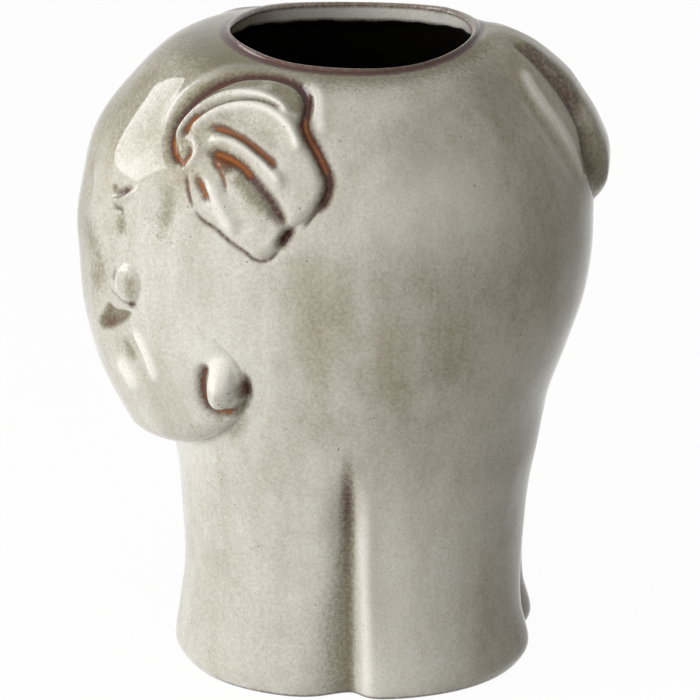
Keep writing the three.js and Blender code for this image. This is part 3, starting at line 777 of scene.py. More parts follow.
def inside_shape(outline, x, y):
    """Distance inside the rounded shape of an outline; outside it the distance is negative."""
    return inside_distance(smooth_line(outline, closed=True), x, y)


def from_face(angle):
    """Degrees from the face, alike on both sides."""
    return np.abs((angle + 180) % 360 - 180)


def height_down(heights, down):
    """A height read off a short list of places down the tail."""
    places, values = np.array(heights, float).T
    slopes = np.gradient(values, places)
    i = np.clip(np.searchsorted(places, down, side="right") - 1, 0, len(places) - 2)
    run = places[i + 1] - places[i]
    t = clamp((down - places[i]) / run)
    rise = t * t * (3 - 2 * t)
    swing = run * t * (1 - t) * (slopes[i] * (1 - t) - slopes[i + 1] * t)
    return mix(values[i], values[i + 1], rise) + swing


# The last mark is partly painted shade; pale also carries painted highlights and painted light.
MARKS = ("rust", "umber", "pale", "moss", "pits", "cloud")


class Relief:
    """What is added to the bare skin at a set of spots: a height and the glaze marks."""

    def __init__(self, row, angle):
        self.row = row
        self.angle = angle
        self.height = np.zeros(row.shape)
        # Near the lip the relief fades out, so that the lip keeps its line.
        self.calm = smooth(FINE_LENGTHS[-1] - skin_length(row), 2, 13)
        self.marks = {name: np.zeros(row.shape) for name in MARKS}

    def local(self, anchor, mirrored, reach):
        """Millimetres from an anchor, and which spots lie within its reach."""
        x, y = from_anchor(anchor, self.row, -self.angle if mirrored else self.angle)
        near = (np.abs(x) < reach) & (np.abs(y) < reach)
        return x, y, near

    def mark(self, name, values, near=...):
        """Adds to a mark, everywhere or only near a place."""
        marks = self.marks[name]
        marks[near] = 1 - (1 - marks[near]) * (1 - clamp(values))

    def draw(self, strokes, anchor, mirrored=False, reach=STROKE_REACH):
        x, y, near = self.local(anchor, mirrored, reach)
        if not near.any():
            return
        x = x[near]
        y = y[near]
        for stroke in strokes:
            line = smooth_line(stroke.line)
            distance, place = line_distance(line, x, y)
            length = np.linalg.norm(np.diff(line, axis=0), axis=1).sum()
            taper = min(STROKE_TAPER, STROKE_TAPER_SHARE * length)
            ends = smooth(np.minimum(place, 1 - place) * length, -0.15 * taper, taper)
            if stroke.rise:
                lift = stroke.rise * ends * bell(distance, stroke.half)
                self.height[near] += lift * self.calm[near]
            for name in MARKS[:4]:
                strength = getattr(stroke, name)
                if strength:
                    self.mark(name, strength * ends * bell(distance, stroke.spread), near)

    def pit(self, lines, anchor, mirrored=False):
        x, y, near = self.local(anchor, mirrored, PIT_REACH)
        for line in lines:
            distance, _ = line_distance(np.array(line, float), x[near], y[near])
            self.mark("pits", bell(distance, PIT_HALF), near)


def leg_share(row, angle):
    """How strongly a spot lies in a groove between the legs, and in the groove's core."""
    height = along("height", row)
    side = along("side", row)
    turn = from_face(angle)
    from_side = np.radians(turn - GROOVE_TURN) * side
    from_front = np.radians(turn) * side
    from_back = np.radians(180 - turn) * side
    wide = mix(12, 4.5, smooth(height, 20, 95))
    groove = np.where(from_side > 0, bell(from_side, 2.6), bell(from_side, wide))
    groove = np.maximum(groove, bell(from_front, wide * 0.7))
    groove = np.maximum(groove, bell(from_back, wide * 0.7))
    core = bell(from_side + 1.2, 3.2) + bell(from_front, 3.2) + bell(from_back, 3.2)
    return groove * (1 - smooth(height, 86, 124)), core


def raise_tip(relief, shape):
    """The knob of the trunk's tip, which sinks back into the belly at its upper end."""
    x, y, near = relief.local(TIP, False, TIP_REACH)
    droop = 1 - smooth(y[near], 1, 17)
    edges = soft_edge(inside_shape(TIP_OUTLINE, x[near], y[near]), 8)
    relief.height[near] += mm(shape.tip_height) * droop * edges
    relief.draw(TIP_STROKES, TIP, reach=TIP_REACH)
    relief.pit(TIP_PITS, TIP)


def raise_ear(relief, shape, mirrored):
    """The leaf of an ear with its folds."""
    x, y, near = relief.local(EAR, mirrored, EAR_REACH)
    edges = soft_edge(inside_shape(EAR_OUTLINE, x[near], y[near]) - EAR_INSET, 5)
    relief.height[near] += mm(shape.ear_height) * edges * relief.calm[near]
    relief.draw(EAR_STROKES, EAR, mirrored)
    relief.pit(EAR_PITS, EAR, mirrored)


def raise_tusk(relief, shape, mirrored):
    """A tusk, and the sunk corner of the mouth below it."""
    x, y, near = relief.local(TUSK, mirrored, TUSK_REACH)
    edges = soft_edge(inside_shape(TUSK_OUTLINE, x[near], y[near]), 5)
    relief.height[near] += mm(shape.tusk_height) * edges
    pocket = inside_shape(MOUTH_OUTLINE, x[near], y[near])
    relief.height[near] -= MOUTH_DEPTH * smooth(pocket, -0.8, 3.8)
    # The pocket's tint: brown glaze and painted shade.
    for name, strength in MOUTH_GLAZE_AND_SHADE:
        relief.mark(name, strength * smooth(pocket, -1, 2.2), near)
    relief.draw(TUSK_STROKES, TUSK, mirrored, reach=TUSK_STROKES_REACH)
    relief.pit(TUSK_PITS, TUSK, mirrored)


def raise_lid(relief, shape, mirrored):
    """An eyelid, with the marks round the eye and at the temple."""
    x, y, near = relief.local(EYE, mirrored, EYE_REACH)
    distance, place = line_distance(smooth_line(LID_LINE), x[near], y[near])
    ends = smooth(np.minimum(place, 1 - place), -0.1, 0.25)
    relief.height[near] += mm(shape.lid_height) * bell(distance, 1.9) * ends
    relief.draw(FACE_STROKES, EYE, mirrored)


def raise_pads(relief, shape):
    """The trunk's tip, and on each side the ear, the tusk and the eyelid."""
    raise_tip(relief, shape)
    for mirrored in (False, True):
        raise_ear(relief, shape, mirrored)
        raise_tusk(relief, shape, mirrored)
        raise_lid(relief, shape, mirrored)


def raise_tail(relief):
    """The swelling down the back and the flap of the tail on it."""
    x, y = from_anchor(TAIL, relief.row, relief.angle)
    root = np.maximum(0, height_down(TAIL_ROOT, -y)) * np.exp(-((np.abs(x) / TAIL_ROOT_HALF) ** 3))
    relief.height += np.where(-y < TAIL_ROOT[-1][0], root, 0)
    near = (np.abs(x) < 40) & (-y < 120)
    inside = inside_shape(TAIL_OUTLINE, x[near], y[near])
    relief.height[near] += height_down(TAIL_FLAP, -y[near]) * soft_edge(inside, 6)
    for mirrored in (False, True):
        relief.draw(TAIL_STROKES, TAIL, mirrored, reach=BACK_REACH)


def raise_trunk(relief, shape):
    """The roll of the trunk, half as high where it curls off to the left, and its two crests."""
    x, y = from_anchor(FACE, relief.row, relief.angle)
    inside = np.maximum(inside_shape(TRUNK_OUTLINE, x, y), 0)
    share = mix(1, 0.5, smooth(x, 30, 105))
    fade = 1 - smooth(y, TRUNK_FADE_FROM, TRUNK_FADE_FROM + TRUNK_FADE)
    relief.height += mm(shape.trunk_roll) * share * fade * edge(inside, mm(shape.trunk_edge))
    height = along("height", relief.row)
    fade = smooth(height, ring_height(CHIN), ring_height(FLANK))
    fade *= 1 - smooth(height, ring_height(BROW), ring_height(CROWN))
    relief.height += mm(shape.trunk_crest) * fade * bell(np.abs(x) - CREST_OUT, 9)
    relief.draw(TRUNK_STROKES, FACE, reach=BACK_REACH)


def tint_rim_and_foot(relief):
    """Glaze runs thin and brown at the lip and green below it; the grooves are dark with pooled glaze and
    painted shade.
    """
    below = FINE_LENGTHS[-1] - skin_length(relief.row)
    relief.mark("umber", 0.97 * (1 - smooth(below, 0.9, 4.2)))
    relief.mark("rust", 0.25 * (1 - smooth(below, 0, 1.6)))
    relief.mark("moss", 0.8 * (1 - smooth(below, 3, 21)))
    groove, core = leg_share(relief.row, relief.angle)
    height = along("height", relief.row)
    # The grooves between the legs: pooled glaze and painted shade.
    relief.mark("moss", 0.72 * groove)
    relief.mark("umber", 0.72 * core * bell(height - 95, 21))
    relief.mark("umber", 0.34 * core * (1 - smooth(height, 60, 110)))
    # The raised ridge of the hind leg beside the groove, with a painted highlight on its lit wall.
    ridge = bell(np.radians(from_face(relief.angle) - 97.5) * along("side", relief.row), 3.4)
    ridge = ridge * (1 - smooth(height, 70, 120))
    relief.mark("pale", 0.6 * ridge)
    relief.height += 0.8 * ridge


def wave_lip(points, row, angle, shape):
    """The thrown lip is uneven, lower on the left and squarer on the right."""
    near = smooth(along("height", row), LIP_FROM, LIP_FULL)
    turn = np.radians(angle)
    lift = mm(shape.lip_wobble) * waved(0, angle, LIP_WAVES) + 0.4 * np.cos(turn) - 0.5 - 0.7 * np.sin(turn)
    whole_turn = (angle + 360) % 360
    corner = sum(bell(whole_turn - place, LIP_CORNER_HALF) for place in LIP_CORNERS)
    flare = 1 + mm(shape.lip_corner) * corner * near / LIP.side
    uneven = points * np.stack([flare, flare, np.ones_like(flare)], -1)
    uneven[..., 2] += (lift + LIP_CORNER_RISE * corner) * near
    return uneven


def tint_clouds_and_shade(relief):
    """Clean glaze on cheeks and front legs, browner above, behind and in front, behind partly as painted
    shade.
    """
    turn = from_face(relief.angle)
    height = along("height", relief.row)
    clean = smooth(height, 196, 228) * (1 - smooth(turn, 122, 146))
    # Browner behind: partly clouds in the glaze, partly painted shade on the side away from the lamps.
    behind = 0.64 * smooth(turn, 62, 88) * smooth(height, 60, 150) * (1 - 0.8 * clean)
    above = mix(1, 0.2, smooth(turn, 46, 74)) * smooth(height, 222, 258)
    face = (1 - smooth(turn, 12, 46)) * smooth(height, 120, 215)
    legs = 0.5 * smooth(turn, 118, 146) * (1 - smooth(height, 60, 150))
    cloud = 1 - (1 - behind) * (1 - above) * (1 - face) * (1 - legs)
    relief.mark("cloud", cloud)
    bridge = (1 - smooth(turn, 4, 36)) * smooth(height, 120, 215) * (1 - smooth(height, 200, 262))
    relief.mark("moss", 0.6 * bridge + 0.5 * (1 - smooth(turn, 38, 62)) * smooth(height, 232, 258))
    # Painted light: a paler patch high on the back and a pale band low on the hind leg.
    back = 0.45 * bell(turn - 112, 22) * bell(height - 238, 24)
    relief.mark("pale", back + 0.3 * bell(turn - 108, 12) * (1 - smooth(height, 70, 120)))


def modelled(row, angle):
    """The modelled skin at a grid of spots, without the leg grooves: points and marks."""
    shape = bpy.context.scene.cachepot_shape
    row = np.asarray(row, float) + np.zeros(np.shape(angle))
    angle = np.asarray(angle, float) + np.zeros(row.shape)
    relief = Relief(row, angle)
    raise_trunk(relief, shape)
    raise_tail(relief)
    raise_pads(relief, shape)
    tint_rim_and_foot(relief)
    tint_clouds_and_shade(relief)
    points = skin_point(row, angle) + skin_normal(row, angle) * relief.height[..., None]
    return wave_lip(points, row, angle, shape), relief


def grid_normals(points, closed):
    """Normals of a grid of points; its columns run round the pot."""
    if closed:
        across = np.roll(points, -1, axis=1) - np.roll(points, 1, axis=1)
    else:
        across = np.gradient(points, axis=1)
    upward = np.gradient(points, axis=0)
    return unit(np.cross(across, upward))


# Each separate piece covers a patch of skin round its outline. Inside the patch the
# body's own skin is sunk out of the way.
Patch = namedtuple("Patch", "anchor outline margin")
LID_PATCH = ((-7.5, -4), (-2, -3), (3, 0), (8, 4), (8.5, 8), (3, 7.5), (-2, 5), (-7.5, 2))
PATCHES = {
    "ear": Patch(EAR, EAR_OUTLINE, 5),
    "lid": Patch(EYE, LID_PATCH, 5),
    "tusk": Patch(TUSK, TUSK_PATCH, 4.5),
    "tip": Patch(TIP, TIP_OUTLINE, 7.5),
    "tail": Patch(TAIL, TAIL_OUTLINE, 8),
}
PAIRED = ("ear", "lid", "tusk")


def patch_depth(patch, x, y):
    """How far spots lie inside the border of a patch."""
    return inside_shape(patch.outline, x, y) + patch.margin


def sink_under_patches(row, angle):
    """How far the body's skin is sunk below the separate pieces."""
    sink = np.zeros(row.shape)
    for name, patch in PATCHES.items():
        for mirrored in (False, True) if name in PAIRED else (False,):
            x, y = from_anchor(patch.anchor, row, -angle if mirrored else angle)
            near = (np.abs(x) < PATCH_WIDEST) & (np.abs(y) < BACK_REACH)
            depth = patch_depth(patch, x[near], y[near])
            under = SINK_SHALLOW * smooth(depth, 1.6, 4.4) + SINK_DEEP * smooth(depth, 5, 10)
            sink[near] = np.maximum(sink[near], under)
    return sink


def new_mesh(name, points, faces, normals=None, marks=None):
    """A smooth mesh in metres from points in millimetres round the pot's axis."""
    mesh = bpy.data.meshes.new(name)
    placed = (points + np.array([0, AXIS, 0])) * MM
    mesh.from_pydata(placed.tolist(), [], faces)
    for key, values in (marks or {}).items():
        mesh.attributes.new(key, "FLOAT", "POINT").data.foreach_set("value", values.astype(np.float32))
    mesh.polygons.foreach_set("use_smooth", np.ones(len(mesh.polygons), bool))
    if mesh.validate():
        raise RuntimeError(name + " has broken faces")
    if normals is not None:
        mesh.normals_split_custom_set_from_vertices(normals.tolist())
    piece = bpy.data.objects.new(name, mesh)
    bpy.context.scene.collection.objects.link(piece)
    return piece


def finish_piece(piece, slot, *nodes):
    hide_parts(*nodes)
    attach(piece, "root")


def shell_faces(quads, count):
    """Faces of a closed shell: the given ones, their copies on its back and its border."""
    ends = {(a, b): True for quad in quads for a, b in zip(quad, quad[1:] + quad[:1])}
    border = [(a, b) for a, b in ends if (b, a) not in ends]
    faces = list(quads)
    faces += [[count + i for i in reversed(quad)] for quad in quads]
    faces += [[b, a, count + a, count + b] for a, b in border]
    return faces


def patch_grid(patch):
    """A grid of millimetres over a patch, kept below the lip."""
    outline = np.array(patch.outline, float)
    low = outline.min(0) - patch.margin - 1
    high = outline.max(0) + patch.margin + 1
    high[1] = min(high[1], FINE_LENGTHS[-1] - skin_length(row_at_height(patch.anchor.height)))
    nx, ny = np.ceil((high - low) / RELIEF_STEP).astype(int) + 1
    return np.meshgrid(np.linspace(low[0], high[0], nx), np.linspace(low[1], high[1], ny))


def make_patch(name, patch, mirrored):
    """A closed relief over one patch of skin, its border just under the body's skin."""
    x, y = patch_grid(patch)
    row, angle = skin_spot(patch.anchor, x, y)
    if mirrored:
        angle = -angle
    points, relief = modelled(row, angle)
    normals = grid_normals(points, closed=False)
    if mirrored:
        normals = -normals
    depth = patch_depth(patch, x, y)
    lift = mix(-PATCH_BURIED, PATCH_PROUD, smooth(depth, 0, 1.8))
    under = skin_point(row, angle) - skin_normal(row, angle) * PATCH_THICK
    points = points + normals * lift[..., None]
    kept = depth > -RELIEF_STEP * 0.5
    cell = kept[:-1, :-1] & kept[:-1, 1:] & kept[1:, :-1] & kept[1:, 1:]
    index = np.arange(x.size).reshape(x.shape)
    quads = np.stack([index[:-1, :-1], index[:-1, 1:], index[1:, 1:], index[1:, :-1]], -1)[cell]
    if mirrored:
        quads = quads[:, ::-1]
    used = np.unique(quads)
    renumber = np.full(x.size, -1)
    renumber[used] = np.arange(len(used))
    faces = shell_faces(renumber[quads].tolist(), len(used))
    front, back, ups = (values.reshape(-1, 3)[used] for values in (points, under, normals))
    marks = {key: np.tile(values.reshape(-1)[used], 2) for key, values in relief.marks.items()}
    return new_mesh(name, np.vstack([front, back]), faces, np.vstack([ups, -ups]), marks)


def socket(tree, name, kind, default=None, output=False):
    """A named input or output of a node group."""
    made = tree.interface.new_socket(name=name, in_out="OUTPUT" if output else "INPUT", socket_type=kind)
    if default is not None:
        made.default_value = default
    return made


class Nodes:
    """Adds nodes to a tree and joins them in one call each."""

    def __init__(self, tree):
        self.tree = tree
        self.count = 0

    def add(self, kind, inputs=None, **settings):
        node = self.tree.nodes.new(kind)
        node.location = (200 * (self.count % 12), -260 * (self.count // 12))
        self.count += 1
        for key, value in settings.items():
            setattr(node, key, value)
        for key, value in (inputs or {}).items():
            if isinstance(value, bpy.types.NodeSocket):
                self.tree.links.new(value, node.inputs[key])
            else:
                node.inputs[key].default_value = value
        return node

    def math(self, operation, *values):
        inputs = dict(enumerate(values))
        return self.add("ShaderNodeMath", inputs, operation=operation).outputs[0]

    def times(self, a, b):
        return self.math("MULTIPLY", a, b)

    def plus(self, a, b):
        return self.math("ADD", a, b)

    def map(self, value, low, high, to_low=0.0, to_high=1.0, kind="SMOOTHSTEP"):
        inputs = {"Value": value, "From Min": low, "From Max": high, "To Min": to_low, "To Max": to_high}
        return self.add("ShaderNodeMapRange", inputs, interpolation_type=kind).outputs["Result"]

    def ramp(self, value, low, high, to_low, to_high):
        return self.map(value, low, high, to_low, to_high, "LINEAR")

    def blend(self, share, a, b):
        """A mix of two colours, which are the node's inputs 6 and 7; its output 2 is theirs."""
        return self.add("ShaderNodeMix", {0: share, 6: a, 7: b}, data_type="RGBA").outputs[2]

    def noise(self, vector, scale, detail=2.0, roughness=0.5):
        inputs = {"Vector": vector, "Scale": scale, "Detail": detail, "Roughness": roughness}
        return self.add("ShaderNodeTexNoise", inputs).outputs["Fac"]


def legs_tree():
    """Geometry Nodes that press the four grooves between the legs into the skin."""
    tree = bpy.data.node_groups.new("Part the legs", "GeometryNodeTree")
    socket(tree, "Geometry", "NodeSocketGeometry")
    for name in (*GROOVE_SIZES, "Side Angle"):
        socket(tree, name, "NodeSocketFloat")
    socket(tree, "Material", "NodeSocketMaterial")
    socket(tree, "Geometry", "NodeSocketGeometry", output=True)
    n = Nodes(tree)
    given = n.add("NodeGroupInput").outputs

    def stored(name):
        node = n.add("GeometryNodeInputNamedAttribute", {"Name": name}, data_type="FLOAT")
        return node.outputs["Attribute"]

    turn, reach, rise, legs = (stored(name) for name in LEG_MARKS)
    share = n.math("MINIMUM", n.math("DIVIDE", rise, given["Groove Top"]), 1.0)
    deep = n.math("MINIMUM", n.times(share, 2.2), 1.0)
    wide = n.math("MINIMUM", n.times(share, 1.8), 1.0)
    depth = n.ramp(deep, 0.0, 1.0, given["Foot Depth"], given["Groove Depth"])
    width = n.ramp(wide, 0.0, 1.0, given["Foot Width"], given["Groove Width"])
    fade = n.map(share, 0.72, 1.0, 1.0, 0.0)
    away = n.math("ABSOLUTE", turn)
    side = n.math("SUBTRACT", away, given["Side Angle"])
    behind = n.math("GREATER_THAN", side, 0.0)
    narrow = n.times(width, n.ramp(behind, 0.0, 1.0, 1.0, REAR_WALL))
    rear = n.math("SUBTRACT", math.pi, away)

    def groove(off, half):
        ratio = n.math("DIVIDE", n.times(off, reach), half)
        return n.math("EXPONENT", n.times(n.times(ratio, ratio), -1.0))

    grooves = n.plus(groove(side, narrow), n.plus(groove(away, width), groove(rear, width)))
    swell = n.times(n.math("COSINE", n.times(turn, 4.0)), given["Leg Bulge"])
    lift = n.times(n.times(n.plus(n.times(depth, grooves), swell), fade), -1.0)
    lift = n.times(lift, legs)
    forward = n.times(n.math("COSINE", turn), -1.0)
    outward = n.add("ShaderNodeCombineXYZ", {"X": n.math("SINE", turn), "Y": forward})
    offset = n.add("ShaderNodeVectorMath", {0: outward.outputs[0], "Scale": lift}, operation="SCALE")
    moved = n.add("GeometryNodeSetPosition", {"Geometry": given["Geometry"], "Offset": offset.outputs[0]})
    real = n.add("GeometryNodeRealizeInstances", {"Geometry": moved.outputs[0]})
    glazed = n.add("GeometryNodeSetMaterial", {"Geometry": real.outputs[0], "Material": given["Material"]})
    n.add("NodeGroupOutput", {"Geometry": glazed.outputs[0]})
    return tree


def part_legs(piece, material):
    """Runs the leg tree on a piece and keeps the result as its plain mesh."""
    shape = bpy.context.scene.cachepot_shape
    tree = legs_tree()
    modifier = piece.modifiers.new("Part the legs", "NODES")
    modifier.node_group = tree
    values = {name: getattr(shape, setting) for name, setting in GROOVE_SIZES.items()}
    values["Side Angle"] = math.radians(GROOVE_TURN)
    values["Material"] = material
    for item in tree.interface.items_tree:
        if item.in_out == "INPUT" and item.name in values:
            modifier[item.identifier] = values[item.name]
    bpy.context.view_layer.update()
    evaluated = piece.evaluated_get(bpy.context.evaluated_depsgraph_get())
    made = bpy.data.meshes.new_from_object(evaluated)
    piece.modifiers.remove(modifier)
    old = piece.data
    piece.data = made
    bpy.data.meshes.remove(old)
    for name in LEG_MARKS:
        made.attributes.remove(made.attributes[name])


MOTTLING = ("Clouds", "Runs", "Speckle", "Grain")


def mottling_group():
    """Clouds, runs and speckle of a reactive glaze."""
    tree = bpy.data.node_groups.new("Glaze mottling", "ShaderNodeTree")
    socket(tree, "Vector", "NodeSocketVector")
    for name, default in (("Cloud Scale", 24.0), ("Run Scale", 60.0), ("Speckle Scale", 1350.0)):
        socket(tree, name, "NodeSocketFloat", default)
    for name in MOTTLING:
        socket(tree, name, "NodeSocketFloat", output=True)
    n = Nodes(tree)
    given = n.add("NodeGroupInput").outputs
    tall = n.add("ShaderNodeMapping", {"Vector": given["Vector"], "Scale": (1, 1, 0.6)}).outputs[0]
    long = n.add("ShaderNodeMapping", {"Vector": given["Vector"], "Scale": (1, 1, 0.14)}).outputs[0]
    clouds = n.map(n.noise(tall, given["Cloud Scale"], 7.0, 0.66), 0.36, 0.66)
    runs = n.map(n.noise(long, given["Run Scale"], 4.0, 0.6), 0.34, 0.7)
    speckle = n.map(n.noise(given["Vector"], given["Speckle Scale"], 2.0, 0.7), 0.53, 0.66)
    grain = n.noise(given["Vector"], n.times(given["Speckle Scale"], 0.42), 3.0, 0.65)
    n.add("NodeGroupOutput", {"Clouds": clouds, "Runs": runs, "Speckle": speckle, "Grain": grain})
    return tree


def glaze_tone(n, given, clouds, runs, grain):
    """How brown the ground of the glaze is: clouds, runs, grain and the veil where it is marked, partly
    painted shade.
    """
    tone = n.plus(n.times(clouds, CLOUD_SHARE), n.times(runs, RUN_SHARE))
    tone = n.plus(tone, n.ramp(grain, 0.3, 0.7, -0.14, 0.16))
    veil = n.times(given["cloud"], n.ramp(clouds, 0.0, 1.0, 0.62, 1.0))
    return n.plus(tone, n.times(veil, VEIL_SHARE))


def pinholes(n, given):
    """Small holes in the glaze, scattered here and there and crowded where pits are marked."""
    cells = n.add("ShaderNodeTexVoronoi", {"Vector": given["Vector"], "Scale": 620.0})
    hole = n.map(cells.outputs["Distance"], 0.16, 0.26, 1.0, 0.0)
    chance = n.add("ShaderNodeSeparateColor", {"Color": cells.outputs["Color"]}).outputs[0]
    chance = n.plus(chance, n.times(given["pits"], 0.3))
    return n.times(hole, n.math("GREATER_THAN", chance, PINHOLE_CHANCE))


def glaze_group():
    """The glaze's colour and relief from its mottling and from the marks on the mesh."""
    tree = bpy.data.node_groups.new("Stoneware glaze", "ShaderNodeTree")
    socket(tree, "Vector", "NodeSocketVector")
    for name in MARKS:
        socket(tree, name, "NodeSocketFloat")
    for name in GLAZE_COLOURS:
        socket(tree, name, "NodeSocketColor")
    socket(tree, "Colour", "NodeSocketColor", output=True)
    socket(tree, "Height", "NodeSocketFloat", output=True)
    socket(tree, "Roughness", "NodeSocketFloat", output=True)
    n = Nodes(tree)
    given = n.add("NodeGroupInput").outputs
    mottle = n.add("ShaderNodeGroup", node_tree=mottling_group())
    tree.links.new(given["Vector"], mottle.inputs["Vector"])
    clouds, runs, speckle, grain = (mottle.outputs[k] for k in MOTTLING)

    def broken(name, low, high, ragged):
        """A mark with its edge broken up by the grain."""
        rough = n.times(n.math("SUBTRACT", grain, 0.5), ragged)
        swing = n.times(rough, n.map(given[name], 0.0, 0.25))
        return n.map(n.plus(given[name], swing), low, high)

    moss = given["Moss Colour"]
    umber = given["Umber Colour"]
    colour = n.blend(glaze_tone(n, given, clouds, runs, grain), given["Cream"], given["Taupe"])
    green = n.map(n.noise(given["Vector"], 34.0, 4.0, 0.6), 0.52, 0.72)
    colour = n.blend(n.times(green, GREEN_SHARE), colour, moss)
    # The pale mark: pale glaze on the lip and neck, and painted highlights and painted light elsewhere.
    pale = n.times(broken("pale", low=0.05, high=0.9, ragged=0.2), 0.8)
    colour = n.blend(pale, colour, given["Blush Colour"])
    dots = n.times(speckle, n.ramp(given["moss"], 0.0, 0.6, 0.26, 0.66))
    colour = n.blend(dots, colour, moss)
    colour = n.blend(n.times(broken("moss", low=0.08, high=0.95, ragged=0.65), 0.8), colour, moss)
    fringe = n.times(n.map(given["umber"], 0.02, 0.35), 0.45)
    colour = n.blend(fringe, colour, given["Fringe Colour"])
    colour = n.blend(broken("umber", low=0.1, high=0.98, ragged=0.7), colour, umber)
    brown = n.blend(broken("rust", low=0.32, high=1.2, ragged=0.9), umber, given["Rust Colour"])
    colour = n.blend(n.times(broken("rust", low=0.06, high=0.95, ragged=0.7), 0.95), colour, brown)
    hole = pinholes(n, given)
    colour = n.blend(hole, colour, umber)
    swell = n.times(n.noise(given["Vector"], 110.0, 2.0, 0.5), 0.6)
    height = n.plus(swell, n.times(grain, 0.1))
    height = n.math("SUBTRACT", height, n.times(hole, 0.5))
    roughness = n.plus(n.ramp(grain, 0.3, 0.7, 0.045, 0.09), n.times(hole, 0.3))
    n.add("NodeGroupOutput", {"Colour": colour, "Height": height, "Roughness": roughness})
    return tree


def colour4(values):
    return (*values, 1.0)


def new_material(name):
    """An empty material, and the means to add its nodes."""
    material = bpy.data.materials.new(name)
    material.use_nodes = True
    material.node_tree.nodes.clear()
    return material, Nodes(material.node_tree)


def glaze_material(slot):
    """Glossy glaze for one material slot; all the glazes share one group and one pattern."""
    name = "glossy_" + slot
    found = bpy.data.materials.get(name)
    if found:
        return found
    look = bpy.context.scene.cachepot_glaze
    material, n = new_material(name)
    group = bpy.data.node_groups.get("Stoneware glaze") or glaze_group()
    place = n.add("ShaderNodeTexCoord").outputs["Object"]
    glaze = n.add("ShaderNodeGroup", node_tree=group)
    n.tree.links.new(place, glaze.inputs["Vector"])
    for key in MARKS:
        mark = n.add("ShaderNodeAttribute", attribute_name=key)
        n.tree.links.new(mark.outputs["Fac"], glaze.inputs[key])
    for key, setting in GLAZE_COLOURS.items():
        glaze.inputs[key].default_value = colour4(getattr(look, setting))
    bump = n.add("ShaderNodeBump", {"Strength": 0.14, "Distance": 0.0006, "Height": glaze.outputs["Height"]})
    shader = n.add("ShaderNodeBsdfPrincipled", {
        "Base Color": glaze.outputs["Colour"], "Roughness": glaze.outputs["Roughness"],
        "Normal": bump.outputs["Normal"], "IOR": GLAZE_IOR,
    })
    n.add("ShaderNodeOutputMaterial", {"Surface": shader.outputs[0]})
    return material


def plain_material(name, colour, roughness, scale, depth):
    """A dull coating with fine grain, for the inside and the bare sole."""
    material, n = new_material(name)
    place = n.add("ShaderNodeTexCoord").outputs["Object"]
    grain = n.noise(place, scale, 5.0, 0.6)
    dark = colour4([value * 0.62 for value in colour])
    tint = n.blend(n.map(grain, 0.35, 0.65), dark, colour4(colour))
    bump = n.add("ShaderNodeBump", {"Strength": 0.4, "Distance": depth, "Height": grain})
    shader = n.add("ShaderNodeBsdfPrincipled", {
        "Base Color": tint, "Normal": bump.outputs["Normal"], "Roughness": roughness,
    })
    n.add("ShaderNodeOutputMaterial", {"Surface": shader.outputs[0]})
    return material


def waved(length, angle, waves):
    """A length round the pot with waves added to it."""
    for size, count, start in waves:
        length = length + size * np.sin(np.radians(count * angle + start))
    return length


def spaced(low, high, count, weight, closed=False):
    """Places from low to high, closer together where the weight is greater."""
    fine = np.linspace(low, high, 4001)
    total = np.concatenate(([0], np.cumsum((weight(fine[1:]) + weight(fine[:-1])) / 2)))
    shares = np.linspace(0, 1, count, endpoint=not closed)
    return np.interp(shares, total / total[-1], fine)


def column_angles():
    """Columns round the pot, closer together at the face, the grooves and the tail."""
    def weight(angle):
        turn = np.abs(angle)
        face = 1 + 0.8 * (turn < 75)
        return face + 1.6 * bell(turn - GROOVE_TURN, 7) + 1.2 * bell(turn, 5) + 1.2 * bell(turn - 180, 14)
    return spaced(-180, 180, COLUMNS, weight, closed=True)


def outer_rows():
    """Rows of the outer skin, closer together at the foot, under the trunk and at the lip."""
    def weight(length):
        row = row_at_length(length)
        height = along("height", row)
        return 1 + 1.0 * bell(height - 106, 16) + 1.2 * bell(height - 5, 9) + 1.5 * bell(height - 290, 10)
    return row_at_length(spaced(0, FINE_LENGTHS[-1], OUTER_ROWS, weight))


def ring_points(radius, angle, height):
    turn = np.radians(angle)
    flat = np.zeros(np.shape(angle))
    return np.stack([radius * np.sin(turn) + flat, -radius * np.cos(turn) + flat, height + flat], -1)


def lip_and_neck(shape, lip_edge, angle):
    """Rings from the skin's edge over the lip and down the pale neck, and the lip's top."""
    reach = np.hypot(lip_edge[:, 0], lip_edge[:, 1])
    mouth = waved(mm(shape.mouth), angle, MOUTH_WAVES)
    middle = (reach + mouth) / 2
    bead = sum(width * bell(angle - place, half) for width, place, half in LIP_BEADS)
    lip_round = mm(shape.lip_round)
    top = lip_edge[:, 2] + lip_round
    rings = []
    for bend in map(math.radians, LIP_OUTER_BENDS):
        share = 1 - math.cos(bend)
        radius = mix(reach, middle, share) - bead * share
        height = lip_edge[:, 2] + (lip_round + BEAD_RISE * bead) * math.sin(bend)
        rings.append(ring_points(radius, angle, height))
    for bend in map(math.radians, LIP_INNER_BENDS):
        radius = mix(middle, mouth, math.sin(bend)) - bead
        drop = lip_round * (1 - math.cos(bend))
        rings.append(ring_points(radius, angle, top + BEAD_RISE * bead - drop))
    shallow = NECK_SHALLOW + (1 - NECK_SHALLOW) * np.sqrt(clamp(-np.sin(np.radians(angle))))
    neck_end = waved(top - mm(shape.neck) * shallow, angle, NECK_WAVES)
    for share in NECK_SHARES:
        rings.append(ring_points(mouth + 0.3 * share, angle, mix(top - lip_round, neck_end, share)))
    rings.append(ring_points(mouth + NECK_STEP_OUT, angle, neck_end - NECK_STEP_DOWN))
    return np.stack(rings), top


